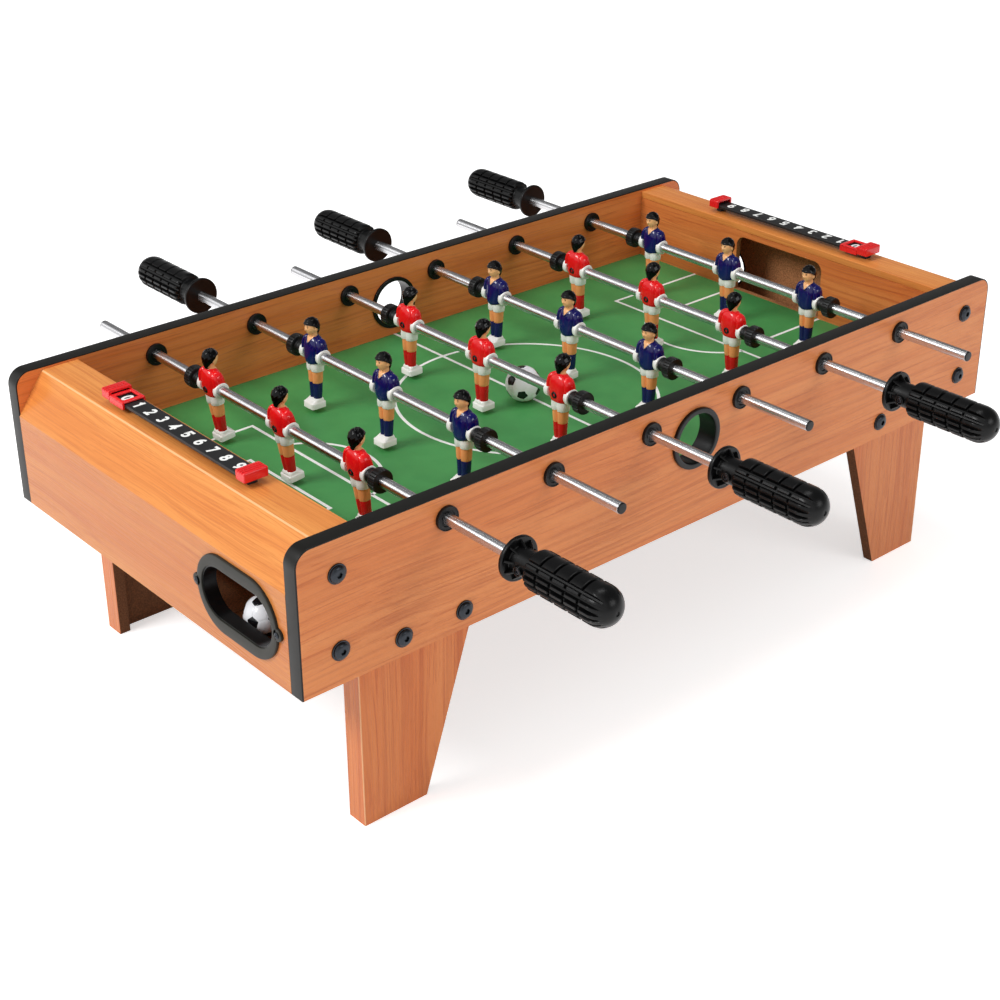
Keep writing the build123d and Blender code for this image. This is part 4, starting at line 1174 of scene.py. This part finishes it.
def sliderParts(low, high):
    # a plate with a bevelled window that rides over the rail, and a skirt down each side of it
    k = slider
    middle, (halfX, halfY, _) = (low + high) / 2, (high - low) / 2
    top, under = high[2], high[2] - k["plate"]
    windowX, windowY, bevel = k["windowX"] / 2, k["windowY"] / 2, k["windowBevel"]
    rim, cut = k["rim"], k["rimCut"]
    rings = [(windowX, windowY, under), (windowX, windowY, top - k["windowSunk"]),
             (windowX + bevel, windowY + bevel, top), (halfX - rim, halfY - rim, top),
             (halfX - cut, halfY - cut, top - cut), (halfX, halfY, top - rim), (halfX, halfY, under)]
    plate = loft(np.array([frameRing(*ring) for ring in rings]), closedRows=True)
    parts = [moved(plate, middle[0], middle[1])]
    for side in (1, -1):
        edges, reach = sorted((side * halfX, side * (halfX - k["skirt"]))), halfY - k["skirtShort"]
        skirt = rectangle(*edges, low[2], under + k["skirtSeat"])
        parts.append(moved(extruded(skirt, middle[1] - reach, middle[1] + reach), middle[0]))
    return finished(parts, redPlastic)


def bracketRows(length, wall):
    # place along the rail, how far the sides are drawn in and how far the top is lowered: from the back
    # edge over the ridges to the open front, and then back along the hollow
    k, rows = bracket, [(length, 1.3, 1.4), (length - 0.25, 0.5, 0.5), (length - 0.7, 0.0, 0.1)]
    for index in range(k["ridges"]):
        start = length - 0.9 - index * k["ridgePitch"]
        rows += [(start, 0.0, 0.0), (start - 1.1, 0.0, 0.0), (start - 1.35, 0.0, k["ridge"]),
                 (start - k["ridgePitch"] + 0.25, 0.0, k["ridge"])]
    last = length - 0.9 - k["ridges"] * k["ridgePitch"]
    return rows + [(last, 0.0, 0.05), (0.5, 0.0, 0.05), (0.1, 0.15, 0.2), (0.0, 0.5, 0.5),
                   (0.0, wall, wall), (length - wall, wall, wall)]


def bracketParts(low, high):
    # a cup that lies on its side with its mouth towards the slider
    k = bracket
    middleX, halfX = (low[0] + high[0]) / 2, (high[0] - low[0]) / 2
    rings = []
    for y, drawn, lowered in bracketRows(high[1] - low[1], k["wall"]):
        side, top = halfX - drawn, high[2] - lowered
        ring = rounded(rectangle(-side, side, low[2], top), [0.2, 0.2, k["topRound"], k["topRound"]], 5,
                       closed=True)
        rings.append(atPlace(ring + [middleX, 0], "Y", low[1] + y))
    cup = loft(np.array(rings))
    return [(cup[0] * [1, sign, 1], cup[1], redPlastic) for sign in (1, -1)]


def railParts(middle, floor, low, top, faceY):
    # the strip between the brackets, its ends in their mouths, and a foot under each
    k = rail

    def across(half, bottom, upper):
        return rectangle(middle - half, middle + half, bottom, upper)

    section = rounded(across(k["halfWide"], low, top), [0.2, 0.2, k["edge"], k["edge"]], 4, closed=True)
    parts = [extruded(section, -faceY - k["seat"], faceY + k["seat"])]
    for side in (1, -1):
        ends = sorted((side * (faceY + k["footStart"]), side * (faceY + k["footEnd"])))
        parts.append(extruded(across(k["footHalf"], floor, low + 0.2), *ends))
    return finished(parts, railPlastic)


railTop, bracketHigh = boxOf("score_rails")[1][2], boxOf("score_brackets")[1]
sliderLow, sliderHigh = boxOf("left_score_slider")
bracketFace = sliderHigh[1] + 0.2
bracketLow = np.array([sliderLow[0] - 0.2, bracketFace, boxOf("score_brackets")[0][2]])
railX, firstY = (sliderLow[:2] + sliderHigh[:2]) / 2
digits = [part for value in range(10)
          for part in digitParts(value, railX, firstY - value * counter["pitch"], railTop)]
railShapes = railParts(railX, boxOf("top_boards")[1][2], bracketLow[2], railTop, bracketFace)
bracketShapes = bracketParts(bracketLow, np.array([2 * railX - bracketLow[0], *bracketHigh[1:]]))
sliderShapes = sliderParts(sliderLow, sliderHigh)
makePiece("counter_digits", bothEnds(digits), "table")
makePiece("counter_rails", bothEnds(railShapes), "table", ["score_rails"])
makePiece("counter_brackets", bothEnds(bracketShapes), "table", ["score_brackets"])
makePiece("left_slider", sliderShapes, "left_counter", ["left_score_slider"])
makePiece("right_slider", [halfTurned(part) for part in sliderShapes], "right_counter",
          ["right_score_slider"])
print("counters ready")

# Floor, lights and camera

studio = {"floor": 12.0, "world": 0.5, "ceiling": 0.2, "floorLift": 0.56}


def seenShare(tree):
    # 1 for what the camera sees, straight or in a mirror or glass, and 0 for light on the object
    path = addNode(tree, "LightPath")
    seen = addNode(tree, "Math", {"operation": "MAXIMUM"}, _0=path["Is Camera Ray"], _1=path["Is Glossy Ray"])
    return addNode(tree, "Math", {"operation": "MAXIMUM"}, _0=seen[0], _1=path["Is Transmission Ray"])[0]


def studioFloor():
    # white paper sweep: to the camera and in mirrors it gets a lift to plain white, and it keeps the shadow
    material, tree = newMaterial("white_paper_sweep")
    fibre = addNode(tree, "TexNoise", Vector=stretched(tree, 3), Scale=1, Detail=2)[0]
    white = addNode(tree, "MixRGB", Fac=fibre, Color1="#f4f4f4", Color2="#fafafa")[0]
    paper = addNode(tree, "BsdfDiffuse", Color=white)[0]
    strength = addNode(tree, "Math", {"operation": "MULTIPLY"}, _0=seenShare(tree), _1=studio["floorLift"])[0]
    lift = addNode(tree, "Emission", Color="#ffffff", Strength=strength)[0]
    addNode(tree, "OutputMaterial", Surface=addNode(tree, "AddShader", _0=paper, _1=lift)[0])
    half = studio["floor"] / 2
    mesh = bpy.data.meshes.new("studio_floor")
    corners = [(-half, -half, 0), (half, -half, 0), (half, half, 0), (-half, half, 0)]
    mesh.from_pydata(corners, [], [(0, 1, 2, 3)])
    mesh.materials.append(material)
    floor = bpy.data.objects.new("studio_floor", mesh)
    bpy.context.scene.collection.objects.link(floor)


def studioWorld():
    # a white room: plain white to the camera; in mirrors white by the horizon and on the window side, and
    # a dim ceiling; a plain level of light for everything else
    world = bpy.data.worlds.new("studio_world")
    world.use_nodes = True
    tree = world.node_tree
    tree.nodes.clear()
    path = addNode(tree, "LightPath")
    ray = addNode(tree, "SeparateXYZ", Vector=addNode(tree, "TexCoord")["Generated"])
    high = addNode(tree, "MapRange", Value=ray["Z"], From_Min=0.04, From_Max=0.16)[0]
    inner = addNode(tree, "MapRange", Value=ray["X"], From_Min=-0.3, From_Max=-0.14)[0]
    white, ceiling, lit = [[level] * 3 + [1] for level in (1, studio["ceiling"], studio["world"])]
    dim = addNode(tree, "Math", {"operation": "MULTIPLY"}, _0=high, _1=inner)[0]
    mirrored = addNode(tree, "MixRGB", Fac=dim, Color1=white, Color2=ceiling)[0]
    glossy = addNode(tree, "MixRGB", Fac=path["Is Glossy Ray"], Color1=lit, Color2=mirrored)[0]
    through = addNode(tree, "Math", {"operation": "MAXIMUM"}, _0=path["Is Camera Ray"],
                      _1=path["Is Transmission Ray"])[0]
    colour = addNode(tree, "MixRGB", Fac=through, Color1=glossy, Color2=white)[0]
    addNode(tree, "OutputWorld", Surface=addNode(tree, "Background", Color=colour, Strength=1.0)[0])
    bpy.context.scene.world = world


def aimed(thing, place, target):
    # the thing at a place, in metres, with its -Z towards the target
    thing.location = place
    thing.rotation_euler = (Vector(target) - Vector(place)).to_track_quat("-Z", "Y").to_euler()
    bpy.context.scene.collection.objects.link(thing)


def softbox(name, place, target, width, height, watts):
    lamp = bpy.data.lights.new(name, "AREA")
    lamp.shape, lamp.size, lamp.size_y, lamp.energy = "RECTANGLE", width, height, watts
    aimed(bpy.data.objects.new(name, lamp), place, target)


studioFloor()
studioWorld()
softbox("key_left", (-2.1, 0.5, 2.0), (0, 0, 0.15), 1.1, 0.8, 46)
softbox("front_fill", (0.6, -2.4, 1.3), (0, 0, 0.15), 1.2, 0.8, 12)
softbox("top_box", (0.1, 0.2, 2.4), (0, 0, 0.2), 1.0, 0.5, 8)

camera = {"place": (-0.849732, -0.949218, 0.753343), "right": (0.75445061, -0.65634229, -0.00436692),
          "down": (-0.29477376, -0.33287621, -0.89571305), "forward": (0.58644071, 0.67705851, -0.44461115),
          "lens": 64.6, "shiftY": -0.05}
view = bpy.data.cameras.new("studio_camera")
view.lens, view.sensor_width, view.shift_y = camera["lens"], 36.0, camera["shiftY"]
viewer = bpy.data.objects.new("studio_camera", view)
columns = [camera["right"], [-value for value in camera["down"]], [-value for value in camera["forward"]],
           camera["place"]]
viewer.matrix_world = Matrix([[column[row] for column in columns] for row in range(3)] + [[0, 0, 0, 1]])
bpy.context.scene.collection.objects.link(viewer)
bpy.context.scene.camera = viewer
bpy.context.scene.view_settings.view_transform = "Standard"

print("scene ready")
